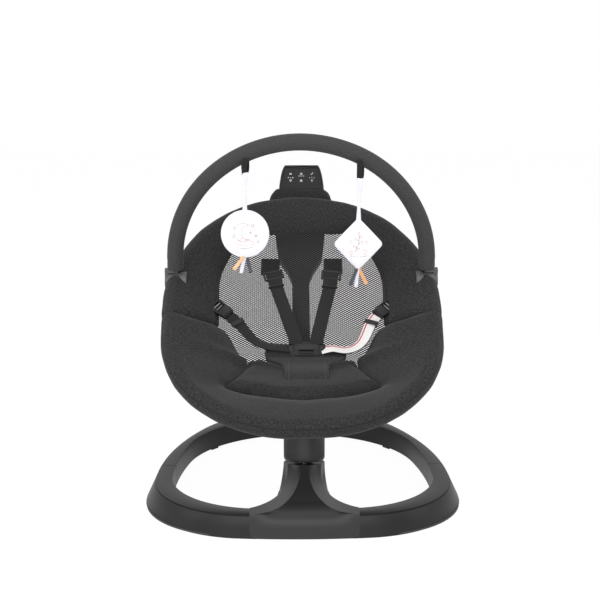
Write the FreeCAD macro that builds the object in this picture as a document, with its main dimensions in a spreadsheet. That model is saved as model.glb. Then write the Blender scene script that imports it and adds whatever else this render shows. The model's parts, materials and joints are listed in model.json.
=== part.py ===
import FreeCAD, Part
import math
import os
import re
import Sketcher

# Baby swing: an egg-shaped floor ring, a column that leans back, and a reclined fabric seat
# that turns about the column. The front faces -Y, +X is to the right, +Z is up, and the origin
# lies on the floor under the middle of the ring. Millimetres and degrees.

Vector = FreeCAD.Vector
Rotation = FreeCAD.Rotation
Placement = FreeCAD.Placement
X_AXIS = Vector(1, 0, 0)
Y_AXIS = Vector(0, 1, 0)
Z_AXIS = Vector(0, 0, 1)

doc = FreeCAD.newDocument("BabySwing")
sheet = doc.addObject("Spreadsheet::Sheet", "Sizes")

SIZES = [
    # Floor ring: plan outline of its top edge, made of tangent arcs
    ("ring_half_width", 269), ("ring_front", 290), ("ring_rear", 300), ("ring_lead", 15),
    ("ring_front_radius", 1040), ("ring_corner_radius", 195), ("ring_side_radius", 660),
    ("ring_height", 42), ("ring_gap", 2.5), ("ring_wall", 3), ("ring_seam", 34),
    ("band_front", 36), ("band_side", 23), ("band_rear", 25),
    ("hole_lead", 5), ("hole_front_radius", 1352),
    ("skirt_front", 13), ("skirt_side", 17), ("skirt_corner_radius", 175), ("skirt_fade", 6),
    ("plate_thick", 2.4), ("fit_gap", 0.4), ("splice_length", 46), ("splice_height", 22),
    # Feet, screws and power inlet
    ("foot_radius", 9), ("screw_radius", 2), ("screw_length", 9),
    ("jack_radius", 4.2), ("jack_depth", 11), ("jack_body", 13),
    # Column: its axis leans back through the middle of the gap below the sleeve
    ("lean", 10), ("neck_y", 173), ("neck_z", 101), ("neck_radius", 34), ("neck_gap", 3),
    ("cover_half", 90), ("cover_foot", 6.5), ("cover_wall", 3), ("cover_step", 0.5),
    ("waist_shift", 18), ("tail_rear", 132),
    ("shaft_radius", 8), ("shaft_below", 78), ("shaft_above", 20), ("bush_wall", 4),
    ("flange_radius", 24), ("flange_thick", 5),
    ("bush_length", 16), ("bush_flange", 2), ("running_gap", 0.05), ("column_radius", 19),
    ("column_length", 60), ("column_top", 10), ("frame_half", 24), ("frame_reach", 28),
    ("frame_wall", 4), ("frame_roof", 5), ("frame_drop", 2), ("frame_shift", 12),
    ("sleeve_length", 47), ("sleeve_wall", 3), ("sleeve_bevel", 3.5),
    ("arm_length", 34), ("arm_width", 14), ("arm_thick", 7), ("coil_radius", 13),
    ("coil_height", 9), ("board_width", 54), ("board_depth", 38), ("board_thick", 1.6),
    # Recline pivot and the cradle that carries the seat
    ("pivot_rise", 60), ("pin_radius", 6), ("cheek_gap", 40), ("cheek_thick", 7),
    ("release_radius", 6.5), ("release_rise", 39.5), ("release_length", 7),
    ("release_gap", 0.3), ("release_inset", 4.5),
    ("spine_width", 33), ("spine_thick", 16), ("lug_radius", 13), ("spine_low", 168),
    ("spine_front", 248), ("saddle_length", 36), ("saddle_rise", 1.5), ("back_angle", 44),
    ("back_gap", 30), ("spine_rise", 245),
    ("spine_head_width", 94), ("spine_head_length", 180),
    # Seat rim: outline in a plane that rises to the head
    ("rim_tilt", 29.2), ("rim_mid_z", 341.5), ("rim_half_width", 239), ("rim_front", 315),
    ("rim_rear", 315), ("rim_lead", 164), ("rim_front_radius", 700), ("rim_corner_radius", 130),
    ("rim_side_front_radius", 1150), ("rim_side_radius", 442), ("tube_radius", 8),
    ("tube_wall", 1.5), ("roll_radius", 18.5), ("roll_gap", 0.4), ("soft_gap", 1.5),
    # Bowl of the seat
    ("crease_y", 20), ("crease_z", 224), ("cushion_front_y", 246), ("cushion_front_z", 209),
    ("cushion_half", 118), ("cushion_thick", 24), ("mesh_half", 156), ("mesh_low_half", 84),
    ("mesh_top_half", 124), ("mesh_corner", 86), ("mesh_length", 300), ("mesh_thick", 3),
    ("bolster_thick", 14), ("bolster_front", 228), ("bolster_rear", 155),
    ("head_pad_thick", 12), ("head_pad_drop", 48.5), ("head_pad_side", 17),
    # Control head above the seat
    ("head_y", 291), ("head_z", 501), ("head_tilt", 8), ("head_low", 20), ("head_top", 63),
    ("head_top_half", 31), ("head_mid_half", 40), ("head_low_half", 44.5), ("head_thick", 18),
    ("head_wall", 2.2), ("head_corner", 5), ("collar_half", 61), ("collar_top_half", 52),
    ("collar_thick", 22), ("collar_low", 2), ("clamp_reach", 30), ("clamp_depth", 20),
    ("clamp_half", 26), ("lens_half", 28), ("lens_low", 27), ("lens_high", 58),
    ("lens_thick", 1.6), ("speaker_radius", 12), ("speaker_height", 5),
    # Toy bar and the hubs that it turns on
    ("hub_y", 57), ("hub_radius", 17), ("hub_slit", 17.5), ("hub_inside", 16),
    ("hub_outside", 17), ("eye_thick", 7),
    ("eye_radius", 14), ("bar_pin_radius", 4), ("bar_tilt", 13), ("bar_straight", 36),
    ("bar_radius", 15.5), ("bar_tube_radius", 6), ("bar_start", 26), ("stem_width", 12),
    # Toys
    ("toy_x", 104), ("loop_drop", 31), ("loop_width", 12), ("loop_thick", 2),
    ("disc_radius", 43.5), ("toy_thick", 9), ("disc_drop", 143), ("diamond_side", 72),
    ("diamond_corner", 9), ("diamond_drop", 163), ("strap_width", 10), ("strap_thick", 1.6),
    ("ribbon_width", 8), ("ribbon_length", 23), ("ribbon_thick", 1.2),
    # Harness
    ("webbing_width", 25), ("webbing_thick", 1.8), ("buckle_width", 64), ("buckle_height", 24),
    ("buckle_thick", 14), ("buckle_up", 28), ("buckle_out", 18), ("buckle_x", 8),
    ("button_width", 30),
    ("button_height", 10), ("button_depth", 5), ("button_gap", 0.3), ("crotch_half", 40),
    ("crotch_slot_y", 130), ("crotch_thick", 7), ("wing_half", 76), ("wing_height", 20),
    ("shoulder_x", 61), ("shoulder_drop", 62), ("shoulder_bend_x", 40),
    ("shoulder_bend_up", 135), ("shoulder_end_x", 18), ("adjuster_width", 32),
    ("adjuster_height", 14), ("adjuster_drop", 43), ("clip_x", 127), ("clip_up", 88),
    ("clip_angle", 41), ("clip_length", 36), ("clip_width", 28), ("clip_thick", 10), ("clip_gap", 1.8),
    ("waist_tail", 9), ("waist_bend_x", 84), ("waist_bend_up", 50),
]
for row, (alias, number) in enumerate(SIZES, start=1):
    sheet.set(f"A{row}", alias)
    sheet.set(f"B{row}", str(number))
    sheet.setAlias(f"B{row}", alias)
doc.recompute()
ALIASES = {alias for alias, number in SIZES}


def bound(formula):
    """A formula in alias words, written the way an expression names the sheet's cells."""
    return re.sub(r"[a-z_]+", lambda m: f"Sizes.{m[0]}" if m[0] in ALIASES else m[0], formula)


def size(formula):
    """The number that such a formula gives."""
    return float(sheet.evalExpression(bound(formula)))


# ---------------------------------------------------------------- making sub-parts

def finish(item, label, place=None):
    """Name a sub-part and stand it in its place."""
    item.Label = label
    if place is not None:
        item.Placement = place
    return item


def free_form(label, shape):
    """A sub-part whose curved shape is made by this script."""
    item = doc.addObject("Part::Feature", label)
    item.Shape = shape
    return finish(item, label)


def body(label, place=None):
    return finish(doc.addObject("PartDesign::Body", label), label, place)


def sketch(owner, name, role, offset="0"):
    """An empty sketch on one of the body's own origin planes."""
    plane = next(f for f in owner.Origin.OriginFeatures if f.Role == role)
    drawing = owner.newObject("Sketcher::SketchObject", name)
    drawing.AttachmentSupport = (plane, [""])
    drawing.MapMode = "FlatFace"
    drawing.setExpression("AttachmentOffset.Base.z", bound(offset))
    return drawing


def pin_down(drawing, kind, element, point, formula):
    """Hold one coordinate of a sketch point at a formula."""
    rule = Sketcher.Constraint(kind, -1, 1, element, point, size(formula))
    index = drawing.addConstraint(rule)
    name = f"{kind}_{element}_{point}"
    drawing.renameConstraint(index, name)
    drawing.setExpression(f"Constraints.{name}", bound(formula))


def polygon(drawing, corners):
    """A closed outline through corners, each a pair of formulas."""
    points = [Vector(size(across), size(up), 0) for across, up in corners]
    first = drawing.GeometryCount
    for number, start in enumerate(points):
        end = points[(number + 1) % len(points)]
        drawing.addGeometry(Part.LineSegment(start, end), False)
    for number, (across, up) in enumerate(corners):
        after = first + (number + 1) % len(corners)
        drawing.addConstraint(Sketcher.Constraint("Coincident", first + number, 2, after, 1))
        pin_down(drawing, "DistanceX", first + number, 1, across)
        pin_down(drawing, "DistanceY", first + number, 1, up)


def rectangle(drawing, left, right, low, high):
    polygon(drawing, [(left, low), (right, low), (right, high), (left, high)])


def circle(drawing, across, up, radius):
    middle = Vector(size(across), size(up), 0)
    number = drawing.addGeometry(Part.Circle(middle, Z_AXIS, size(radius)), False)
    pin_down(drawing, "DistanceX", number, 3, across)
    pin_down(drawing, "DistanceY", number, 3, up)
    index = drawing.addConstraint(Sketcher.Constraint("Radius", number, size(radius)))
    drawing.renameConstraint(index, f"Radius_{number}")
    drawing.setExpression(f"Constraints.Radius_{number}", bound(radius))


def pad(owner, drawing, length, both_ways=True):
    feature = owner.newObject("PartDesign::Pad", f"{owner.Name}_pad")
    feature.Profile = drawing
    feature.SideType = "Symmetric" if both_ways else "One side"
    feature.setExpression("Length", bound(length))
    doc.recompute()
    return feature


def pocket(owner, drawing, length):
    """Cut both ways from the sketch's plane, and make sure that something was cut."""
    before = owner.Shape.Volume
    feature = owner.newObject("PartDesign::Pocket", f"{owner.Name}_pocket")
    feature.Profile = drawing
    feature.SideType = "Symmetric"
    feature.setExpression("Length", bound(length))
    doc.recompute()
    if owner.Shape.Volume >= before:
        raise ValueError(f"{owner.Label}: a pocket cuts nothing")
    return feature


def revolve(owner, drawing):
    feature = owner.newObject("PartDesign::Revolution", f"{owner.Name}_turn")
    feature.Profile = drawing
    feature.ReferenceAxis = (drawing, ["V_Axis"])
    feature.Angle = 360
    doc.recompute()
    return feature


def round_edges(owner, radius, wanted):
    """Fillet the edges of the body's tip that the given test picks."""
    base = owner.Tip
    names = [f"Edge{i}" for i, edge in enumerate(base.Shape.Edges, start=1) if wanted(edge)]
    feature = owner.newObject("PartDesign::Fillet", f"{owner.Name}_round")
    feature.Base = (base, names)
    feature.setExpression("Radius", bound(radius))
    doc.recompute()
    return feature


def along(axis):
    """An edge test: a straight edge that runs along the given axis."""
    def test(edge):
        straight = isinstance(edge.Curve, Part.Line)
        return straight and abs(abs(edge.Curve.Direction.dot(axis)) - 1) < 1e-6
    return test


def turned(label, profile, place=None):
    """A body turned about its own Z axis; the profile's corners are (radius, height)."""
    owner = body(label, place)
    drawing = sketch(owner, f"{label}_profile", "XZ_Plane")
    polygon(drawing, profile)
    revolve(owner, drawing)
    return owner


def block(label, left, right, front, rear, low, high, place=None):
    """A rectangular body between the given faces."""
    owner = body(label, place)
    drawing = sketch(owner, f"{label}_plan", "XY_Plane", low)
    rectangle(drawing, left, right, front, rear)
    pad(owner, drawing, f"{high} - ({low})", both_ways=False)
    return owner


def box(low, high):
    """A plain box between two opposite corners."""
    span = high - low
    return Part.makeBox(span.x, span.y, span.z, low)


def rod(start, end, radius):
    return Part.makeCylinder(radius, (end - start).Length, start, end - start)


# ---------------------------------------------------------------- outlines of tangent arcs

def outline(half_width, front, rear, lead, front_radius, corner_radius, side_front, side_rear):
    """Arcs of an egg-shaped outline that is mirrored left to right.

    It runs from a flat front arc round a tight corner, then along the side, which is widest
    at the lead behind the corner's centre, to a round rear. Each arc is (centre x, centre y,
    radius, from angle, to angle). The angles are those of the outward normal, from -270
    degrees round to 270, with -90 at the front and 90 at the rear.
    """
    front_y = front + front_radius
    side_x = half_width - side_front
    corner_x = side_x + math.sqrt((side_front - corner_radius) ** 2 - lead ** 2)
    corner_y = front_y - math.sqrt((front_radius - corner_radius) ** 2 - corner_x ** 2)
    widest = corner_y + lead
    tail_x = half_width - side_rear
    depth = side_rear - rear
    rear_y = (tail_x ** 2 + widest ** 2 - depth ** 2) / (2 * (depth + widest))
    to_corner = math.degrees(math.atan2(corner_y - front_y, corner_x))
    to_side = -math.degrees(math.atan2(lead, corner_x - side_x))
    to_rear = math.degrees(math.atan2(rear_y - widest, -tail_x))
    right = [
        (0.0, front_y, front_radius, -90.0, to_corner),
        (corner_x, corner_y, corner_radius, to_corner, to_side),
        (side_x, widest, side_front, to_side, 0.0),
        (tail_x, widest, side_rear, 0.0, to_rear),
        (0.0, rear_y, rear - rear_y, to_rear, 90.0),
    ]
    return mirrored(right)


def mirrored(right):
    """A whole outline from the arcs of its right side."""
    left = [(-x, y, r, 180.0 - b, 180.0 - a) for x, y, r, a, b in reversed(right)]
    before = [(x, y, r, a - 360.0, b - 360.0) for x, y, r, a, b in left]
    return before + right + left


def on_arc(arc, angle, inset=0.0, height=0.0):
    """The point of an arc at a normal angle, moved inward by the inset."""
    x, y, radius = arc[:3]
    turn = math.radians(angle)
    reach = radius - inset
    return Vector(x + reach * math.cos(turn), y + reach * math.sin(turn), height)


def stretch(arcs, start, stop, inset=0.0, height=0.0):
    """The edges of an outline between two normal angles."""
    edges = []
    for arc in arcs:
        low = max(arc[3], start)
        high = min(arc[4], stop)
        if high - low < 1e-6:
            continue
        points = [on_arc(arc, angle, inset, height) for angle in (low, (low + high) / 2, high)]
        edges.append(Part.Arc(*points).toShape())
    return edges


def closed_outline(arcs, inset=0.0, height=0.0):
    return Part.Wire(stretch(arcs, -90, 270, inset, height))


def slab(arcs, inset, low, high):
    """A flat plate of the whole outline."""
    return Part.Face(closed_outline(arcs, inset, low)).extrude(Vector(0, 0, high - low))


def angle_at(arcs, y, inset=0.0):
    """The normal angle on the right side where the outline crosses a station y."""
    right = [arc for arc in arcs if arc[3] >= -90 and arc[4] <= 90]
    for arc in right:
        ratio = (y - arc[1]) / (arc[2] - inset)
        if abs(ratio) <= 1:
            angle = math.degrees(math.asin(ratio))
            if arc[3] - 1e-6 <= angle <= arc[4] + 1e-6:
                return angle
    raise ValueError("the outline doesn't reach that station")


# ---------------------------------------------------------------- floor ring

ring_top = outline(size("ring_half_width"), -size("ring_front"), size("ring_rear"),
                   size("ring_lead"), size("ring_front_radius"), size("ring_corner_radius"),
                   size("ring_side_radius"), size("ring_side_radius"))
ring_hole = outline(size("ring_half_width - band_side"), -size("ring_front - band_front"),
                    size("ring_rear - band_rear"), size("hole_lead"),
                    size("hole_front_radius"), size("ring_corner_radius - band_side"),
                    size("ring_side_radius - band_side"), size("ring_side_radius - band_side"))


def skirt_outline():
    """The foot of the flared front; its tail arc runs in towards the top's line at the seam."""
    half = size("ring_half_width + skirt_side")
    right = outline(half, -size("ring_front + skirt_front"), size("ring_rear"),
                    size("ring_lead"), size("ring_front_radius"), size("skirt_corner_radius"),
                    size("ring_side_radius"), size("ring_side_radius"))[5:8]
    widest, seam_y = right[2][1], -size("ring_seam")
    angle = angle_at(ring_top, seam_y)
    top_x = on_arc(next(a for a in ring_top[5:10] if a[3] <= angle <= a[4]), angle).x
    run, sink = seam_y - widest, half - top_x - size("skirt_fade")
    tail = (run ** 2 + sink ** 2) / (2 * sink)
    return mirrored(right + [(half - tail, widest, tail, 0.0, 90.0)])


ring_skirt = skirt_outline()


def front_half(arcs, inset, height, seam_y):
    """A closed wire of the outline in front of the seam."""
    angle = angle_at(arcs, seam_y, inset)
    edges = stretch(arcs, -180 - angle, angle, inset, height)
    ends = [edges[-1].Vertexes[-1].Point, edges[0].Vertexes[0].Point]
    return Part.Wire(edges + [Part.LineSegment(*ends).toShape()])


def ring_front_solid(inset, low, high, seam_y):
    """The flared front of the ring as a solid, moved inward by the inset."""
    wires = [front_half(ring_skirt, inset, low, seam_y), front_half(ring_top, inset, high, seam_y)]
    return Part.makeLoft(wires, True, True)


column_place = Placement(Vector(0, -size("neck_y"), size("neck_z")),
                         Rotation(X_AXIS, -size("lean")))


def bell(share, power):
    """1 at the foot (share 0) and 0 at the neck (share 1), like the bell of a trumpet."""
    return 1 - (1 - (1 - share) ** power) ** (1 / power)


def curve(points):
    spline = Part.BSplineCurve()
    spline.interpolate(points)
    return spline.toShape()


def pedestal_section(share, inset):
    """One section of the pedestal, from its foot (share 0) to its neck (share 1)."""
    neck, radius = -size("neck_y"), size("neck_radius") - inset
    half = size("cover_half") - inset
    band = -size("ring_front - band_front") - inset
    front_line = -size("ring_front - cover_step") + inset
    neck_front = neck - radius
    rear = neck + radius + (-size("tail_rear") - neck - size("neck_radius")) * bell(share, 2)
    crease_x = radius * 0.2 + (half - radius * 0.2) * bell(share, 2.6)
    crease_y = neck_front + (front_line - neck_front) * (1 - share)
    side = Vector(radius * 0.82 + (half - radius * 0.82) * bell(share, 3.7),
                  neck - radius * 0.57 + (band - neck + radius * 0.57) * bell(share, 3), 0)
    waist = Vector(radius + size("neck_radius") * 0.18 * bell(share, 2),
                   neck + radius * 0.1 - size("waist_shift") * bell(share, 2.5), 0)
    crease = Vector(crease_x, crease_y + crease_x ** 2 / (2 * size("ring_front_radius")), 0)
    outer = (crease + side) * 0.5 + Vector(0.05, -0.05, 0) * radius * share ** 2
    hollow = (side * 0.35 + waist * 0.65) + Vector(-0.03 * (1 - share), 0.02, 0) * radius
    rear_mid = Vector(waist.x * 0.65, waist.y + (rear - waist.y) * 0.74, 0)
    chain = [crease, outer, side, hollow, waist, rear_mid, Vector(0, rear, 0),
             Vector(0, crease_y, 0)]
    level = size("ring_height") + (size("neck_z - neck_gap / 2") - size("ring_height")) * share
    slope = math.tan(math.radians(size("lean") * share))
    right = [Vector(p.x, p.y, level - (p.y - neck) * slope) for p in chain]
    left = [Vector(-p.x, p.y, p.z) for p in right]
    tip = right[7]
    return Part.Wire([curve([left[0], tip, right[0]]), curve(right[0:3]), curve(right[2:5]),
                      curve([right[4], right[5], right[6], left[5], left[4]]),
                      curve(left[4:1:-1]), curve(left[2::-1])])


def make_ring():
    gap, top, wall = size("ring_gap"), size("ring_height"), size("ring_wall")
    clear, seam = size("fit_gap"), -size("ring_seam")
    half = size("cover_half + fit_gap")
    far = size("ring_rear * 2")
    open_hole = slab(ring_hole, 0, gap - 1, top + 1)
    inner_wall = slab(ring_hole, -wall, gap - 1, top + 1)
    recess = box(Vector(-half, -far, size("cover_foot - fit_gap")),
                 Vector(half, -size("ring_front - band_front - ring_wall - 3"), top + 1))
    shell = ring_front_solid(0, gap, top, seam).cut(open_hole)
    cavity = ring_front_solid(wall, gap - 0.01, top - wall, seam + wall).cut(inner_wall)
    inner_edge = -size("ring_front - band_front")
    notch = half - wall - 1
    tail_way = box(Vector(-notch, inner_edge - wall - 1, gap - 1),
                   Vector(notch, inner_edge + wall + 3, size("cover_foot")))
    free_form("base_ring_front", shell.cut(cavity).cut(recess).cut(tail_way))

    behind = box(Vector(-far, seam + clear / 2, 0), Vector(far, far, top + 1))
    shell = slab(ring_top, 0, gap, top).common(behind).cut(open_hole)
    cavity = slab(ring_top, wall, gap - 1, top - wall).cut(inner_wall)
    free_form("base_ring_rear", shell.cut(cavity))

    inside = wall + clear
    plate_top = gap + size("plate_thick")
    lining = slab(ring_hole, -inside, gap - 1, top + 1)
    front = ring_front_solid(inside, gap, top, seam - clear)
    front = front.common(box(Vector(-far, -far, gap), Vector(far, far, plate_top)))
    tail = Part.Face(pedestal_section(0, inside))
    tail.translate(Vector(0, 0, gap - top))
    tail = tail.extrude(Vector(0, 0, plate_top - gap))
    free_form("base_bottom_front", front.cut(lining).fuse(tail).removeSplitter())
    rear = slab(ring_top, inside, gap, plate_top).common(behind).cut(lining)
    free_form("base_bottom_rear", rear)

    length, height = size("splice_length"), size("splice_height")
    low = plate_top + clear
    band = slab(ring_top, inside + 1, low, low + height).cut(
        slab(ring_hole, -inside - 1, low - 1, low + height + 1))
    near = box(Vector(-far, seam - length / 2, 0), Vector(far, seam + length / 2, top))
    free_form("ring_splices", band.common(near))


make_ring()


# ---------------------------------------------------------------- feet, screws and inlet

def spread(solid, places):
    """Copies of one solid at several places, as one compound."""
    copies = []
    for place in places:
        copy = solid.copy()
        copy.translate(place)
        copies.append(copy)
    return Part.makeCompound(copies)


def band_middle(angle, height):
    """A point midway across the ring's band, at a normal angle of the hole's outline."""
    arc = next(a for a in ring_hole if a[3] <= angle <= a[4])
    inner = on_arc(arc, angle, 0, height)
    beyond = on_arc(arc, angle, -size("ring_corner_radius"), height)
    ray = Part.LineSegment(inner, beyond).toShape()
    outer = ray.distToShape(closed_outline(ring_top, 0, height))[1][0][0]
    return (inner + outer) / 2


def make_feet():
    angles = (-52, 0, 58, 122, 180, 232)
    gap = size("ring_gap")
    foot = Part.makeCylinder(size("foot_radius"), gap)
    free_form("feet", spread(foot, [band_middle(angle, 0) for angle in angles]))
    low = gap + size("plate_thick")
    head = Part.makeCylinder(size("screw_radius * 1.7"), size("screw_radius"), Vector(0, 0, low))
    shank = Part.makeCylinder(size("screw_radius"), size("screw_length"), Vector(0, 0, low))
    screw = head.fuse(shank).removeSplitter()
    free_form("base_screws", spread(screw, [band_middle(angle + 16, 0) for angle in angles]))


make_feet()


def make_jack():
    """The power inlet: a round socket in the back of the rear ring piece."""
    half, depth = size("jack_body / 2"), size("jack_depth")
    y = size("ring_rear - ring_wall - fit_gap")
    z = size("ring_height / 2")
    shell = box(Vector(-half, y - depth - 3, z - half), Vector(half, y, z + half))
    nose = rod(Vector(0, y - 1, z), Vector(0, y + size("ring_wall"), z), size("jack_radius + 1.3"))
    mouth = rod(Vector(0, y - depth, z), Vector(0, y + 10, z), size("jack_radius"))
    free_form("power_jack", shell.fuse(nose).cut(mouth).removeSplitter())
    ring = doc.getObject("base_ring_rear")
    ring.Shape = ring.Shape.cut(rod(Vector(0, y - 1, z), Vector(0, y + 20, z),
                                    size("jack_radius + 1.5")))


make_jack()


# ---------------------------------------------------------------- pedestal and column

def pedestal_solid(inset, top_share):
    steps = 11
    shares = [top_share * (step / steps) ** 1.7 for step in range(steps + 1)]
    bell_part = Part.makeLoft([pedestal_section(share, inset) for share in shares], True, True)
    low, top = size("cover_foot"), size("ring_height")
    half = size("cover_half") - inset
    foot = Part.Face(pedestal_section(0, inset)).extrude(Vector(0, 0, low - top - inset))
    far = size("ring_rear * 2")
    skirt = ring_front_solid(inset, size("ring_gap"), top, -size("ring_seam")).common(
        box(Vector(-half, -far, low - inset), Vector(half, -size("ring_front - band_front"), top)))
    return bell_part.fuse(foot).fuse(skirt)


def make_pedestal():
    wall = size("cover_wall")
    outer = pedestal_solid(0, 1)
    shell = outer.cut(pedestal_solid(wall, 0.94))
    bore = Part.makeCylinder(size("shaft_radius + 2"), 2 * size("neck_radius"),
                             Vector(0, 0, -size("neck_radius")))
    bore.Placement = column_place
    shell = shell.cut(bore)
    far, y = size("ring_rear * 2"), -size("neck_y")
    clear = size("fit_gap") / 2
    free_form("pedestal_front_cover", shell.common(box(Vector(-far, -far, 0), Vector(far, y, far))))
    behind = box(Vector(-far, y + clear, 0), Vector(far, far, far))
    free_form("pedestal_rear_cover", shell.common(behind))


make_pedestal()


def make_column():
    """The fixed frame in the pedestal: a leaning tube that stands on two side walls."""
    low, roof = size("ring_gap + plate_thick"), size("ring_height - frame_drop")
    bore = size("shaft_radius + running_gap + bush_wall + running_gap")
    long, top = size("column_length"), -size("column_top")
    tube = Part.makeCylinder(size("column_radius"), long, Vector(0, 0, top - long))
    hole = Part.makeCylinder(bore, long * 2, Vector(0, 0, top - long * 1.5))
    tube.Placement = column_place
    hole.Placement = column_place
    foot_y = -size("neck_y + frame_shift")
    half, reach = size("frame_half"), size("frame_reach")
    inside, ceiling = size("frame_half - frame_wall"), roof - size("frame_roof")
    walls = box(Vector(-half, foot_y - reach, low), Vector(half, foot_y + reach, roof))
    room = box(Vector(-inside, foot_y - reach * 2, low - 1),
               Vector(inside, foot_y + reach * 2, ceiling))
    below = box(Vector(-half * 2, foot_y - reach * 2, low - long),
                Vector(half * 2, foot_y + reach * 2, ceiling + 1))
    frame = walls.cut(room).fuse(tube.cut(below)).cut(hole)
    free_form("column_frame", frame.removeSplitter())


make_column()


def make_bushes():
    """A plain bush at each end of the column's bore, in which the shaft turns."""
    inner = size("shaft_radius + running_gap")
    outer = inner + size("bush_wall")
    long, top = size("bush_length"), -size("column_top")
    low = top - size("column_length") + 2
    lower = Part.makeCylinder(outer, long, Vector(0, 0, low))
    upper = Part.makeCylinder(outer, long + 0.1, Vector(0, 0, top - long))
    collar = Part.makeCylinder(outer + 3, size("bush_flange"), Vector(0, 0, top + 0.1))
    bore = Part.makeCylinder(inner, -low * 2, Vector(0, 0, low - 1))
    bushes = [bush.cut(bore).removeSplitter() for bush in (lower, upper.fuse(collar))]
    for bush in bushes:
        bush.Placement = column_place
    free_form("shaft_bushes", Part.makeCompound(bushes))


make_bushes()

coil_place = Placement(Vector(0, -size("neck_y + arm_length + 12"),
                              size("ring_gap + plate_thick")), Rotation())
turned("drive_coil", [
    ("coil_radius / 2", "0"), ("coil_radius", "0"), ("coil_radius", "coil_height"),
    ("coil_radius / 2", "coil_height"),
], coil_place)
block("drive_board", "coil_radius + 2", "coil_radius + 2 + board_width", "-board_depth / 2",
      "board_depth / 2", "0", "board_thick",
      Placement(Vector(0, -size("ring_front - board_depth + 2"),
                       size("ring_gap + plate_thick + 6")), Rotation()))


# ---------------------------------------------------------------- what turns on the column

turned("swing_shaft", [
    ("0", "-shaft_below"), ("shaft_radius", "-shaft_below"), ("shaft_radius", "shaft_above"),
    ("flange_radius", "shaft_above"), ("flange_radius", "shaft_above + flange_thick"),
    ("0", "shaft_above + flange_thick"),
], column_place)
turned("sleeve_blank", [
    ("neck_radius - sleeve_bevel - sleeve_wall", "neck_gap / 2"),
    ("neck_radius - sleeve_bevel", "neck_gap / 2"),
    ("neck_radius", "neck_gap / 2 + sleeve_bevel"),
    ("neck_radius", "neck_gap / 2 + sleeve_length"),
    ("neck_radius - sleeve_wall", "neck_gap / 2 + sleeve_length"),
    ("neck_radius - sleeve_wall", "shaft_above - 0.1"),
    ("shaft_radius + 0.2", "shaft_above - 0.1"),
    ("shaft_radius + 0.2", "shaft_above - 0.1 - sleeve_wall"),
    ("neck_radius - sleeve_wall", "shaft_above - 0.1 - sleeve_wall"),
    ("neck_radius - sleeve_wall", "neck_gap / 2 + sleeve_bevel"),
], column_place)


release_place = column_place.multiply(
    Placement(Vector(0, size("neck_radius"), size("release_rise")), Rotation(X_AXIS, -90)))


def make_release():
    """The button in the back of the sleeve that frees the recline lock."""
    turned("recline_button", [
        ("0", "-release_inset"), ("release_radius", "-release_inset"),
        ("release_radius", "release_length - release_inset"),
        ("0", "release_length - release_inset"),
    ], release_place)
    hole = doc.addObject("Part::Cylinder", "release_hole")
    hole.setExpression("Radius", bound("release_radius + release_gap"))
    hole.setExpression("Height", bound("neck_radius"))
    hole.Placement = release_place.multiply(
        Placement(Vector(0, 0, -size("neck_radius / 2")), Rotation()))
    sleeve = doc.addObject("Part::Cut", "upper_sleeve")
    sleeve.Base = doc.getObject("sleeve_blank")
    sleeve.Tool = hole
    doc.recompute()
    finish(sleeve, "upper_sleeve")


make_release()


def make_drive_arm():
    """The arm on the shaft's lower end, with the magnet that the coil pushes."""
    owner = body("drive_arm", column_place)
    plan = sketch(owner, "drive_arm_plan", "XY_Plane", "-shaft_below - arm_thick")
    rectangle(plan, "-arm_width / 2", "arm_width / 2", "-arm_length", "shaft_radius")
    pad(owner, plan, "arm_thick - 0.1", both_ways=False)
    magnet = sketch(owner, "drive_arm_magnet", "XY_Plane", "-shaft_below - arm_thick - 4")
    circle(magnet, "0", "-arm_length", "arm_width / 2 + 2")
    pad(owner, magnet, "arm_thick + 4 - 0.1", both_ways=False)


make_drive_arm()


def make_hub_bracket():
    """Two cheeks on a round base that hold the recline pin."""
    owner = body("hub_bracket", column_place)
    base = sketch(owner, "hub_base", "XY_Plane", "shaft_above + flange_thick + 0.1")
    circle(base, "0", "0", "neck_radius - sleeve_wall - 1")
    pad(owner, base, "6", both_ways=False)
    low = "shaft_above + flange_thick + 4"
    post = sketch(owner, "hub_post", "YZ_Plane")
    rectangle(post, "-lug_radius", "lug_radius", low, "pivot_rise")
    pad(owner, post, "cheek_gap + 2 * cheek_thick")
    crown = sketch(owner, "hub_crown", "YZ_Plane")
    circle(crown, "0", "pivot_rise", "lug_radius")
    pad(owner, crown, "cheek_gap + 2 * cheek_thick")
    slot = sketch(owner, "hub_slot", "YZ_Plane")
    rectangle(slot, "-lug_radius * 2", "lug_radius * 2", "shaft_above + flange_thick + 6.1",
              "pivot_rise + lug_radius * 2")
    pocket(owner, slot, "cheek_gap")
    hole = sketch(owner, "hub_hole", "YZ_Plane")
    circle(hole, "0", "pivot_rise", "pin_radius + running_gap")
    pocket(owner, hole, "cheek_gap + 4 * cheek_thick")


make_hub_bracket()

lean = math.radians(size("lean"))
pivot = Vector(0, -size("neck_y") + size("pivot_rise") * math.sin(lean),
               size("neck_z") + size("pivot_rise") * math.cos(lean))
across = Rotation(Y_AXIS, 90)
turned("recline_pin", [
    ("0", "-cheek_gap / 2 - cheek_thick - 3"),
    ("pin_radius + 3", "-cheek_gap / 2 - cheek_thick - 3"),
    ("pin_radius + 3", "-cheek_gap / 2 - cheek_thick - 0.2"),
    ("pin_radius", "-cheek_gap / 2 - cheek_thick - 0.2"),
    ("pin_radius", "cheek_gap / 2 + cheek_thick + 2"),
    ("0", "cheek_gap / 2 + cheek_thick + 2"),
], Placement(pivot, across))


# ---------------------------------------------------------------- seat frame

def prism(profile, half_width):
    """A slab across X from a profile of (y, z) points."""
    points = [Vector(-half_width, y, z) for y, z in profile]
    face = Part.Face(Part.makePolygon(points + points[:1]))
    return face.extrude(Vector(2 * half_width, 0, 0))


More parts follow.
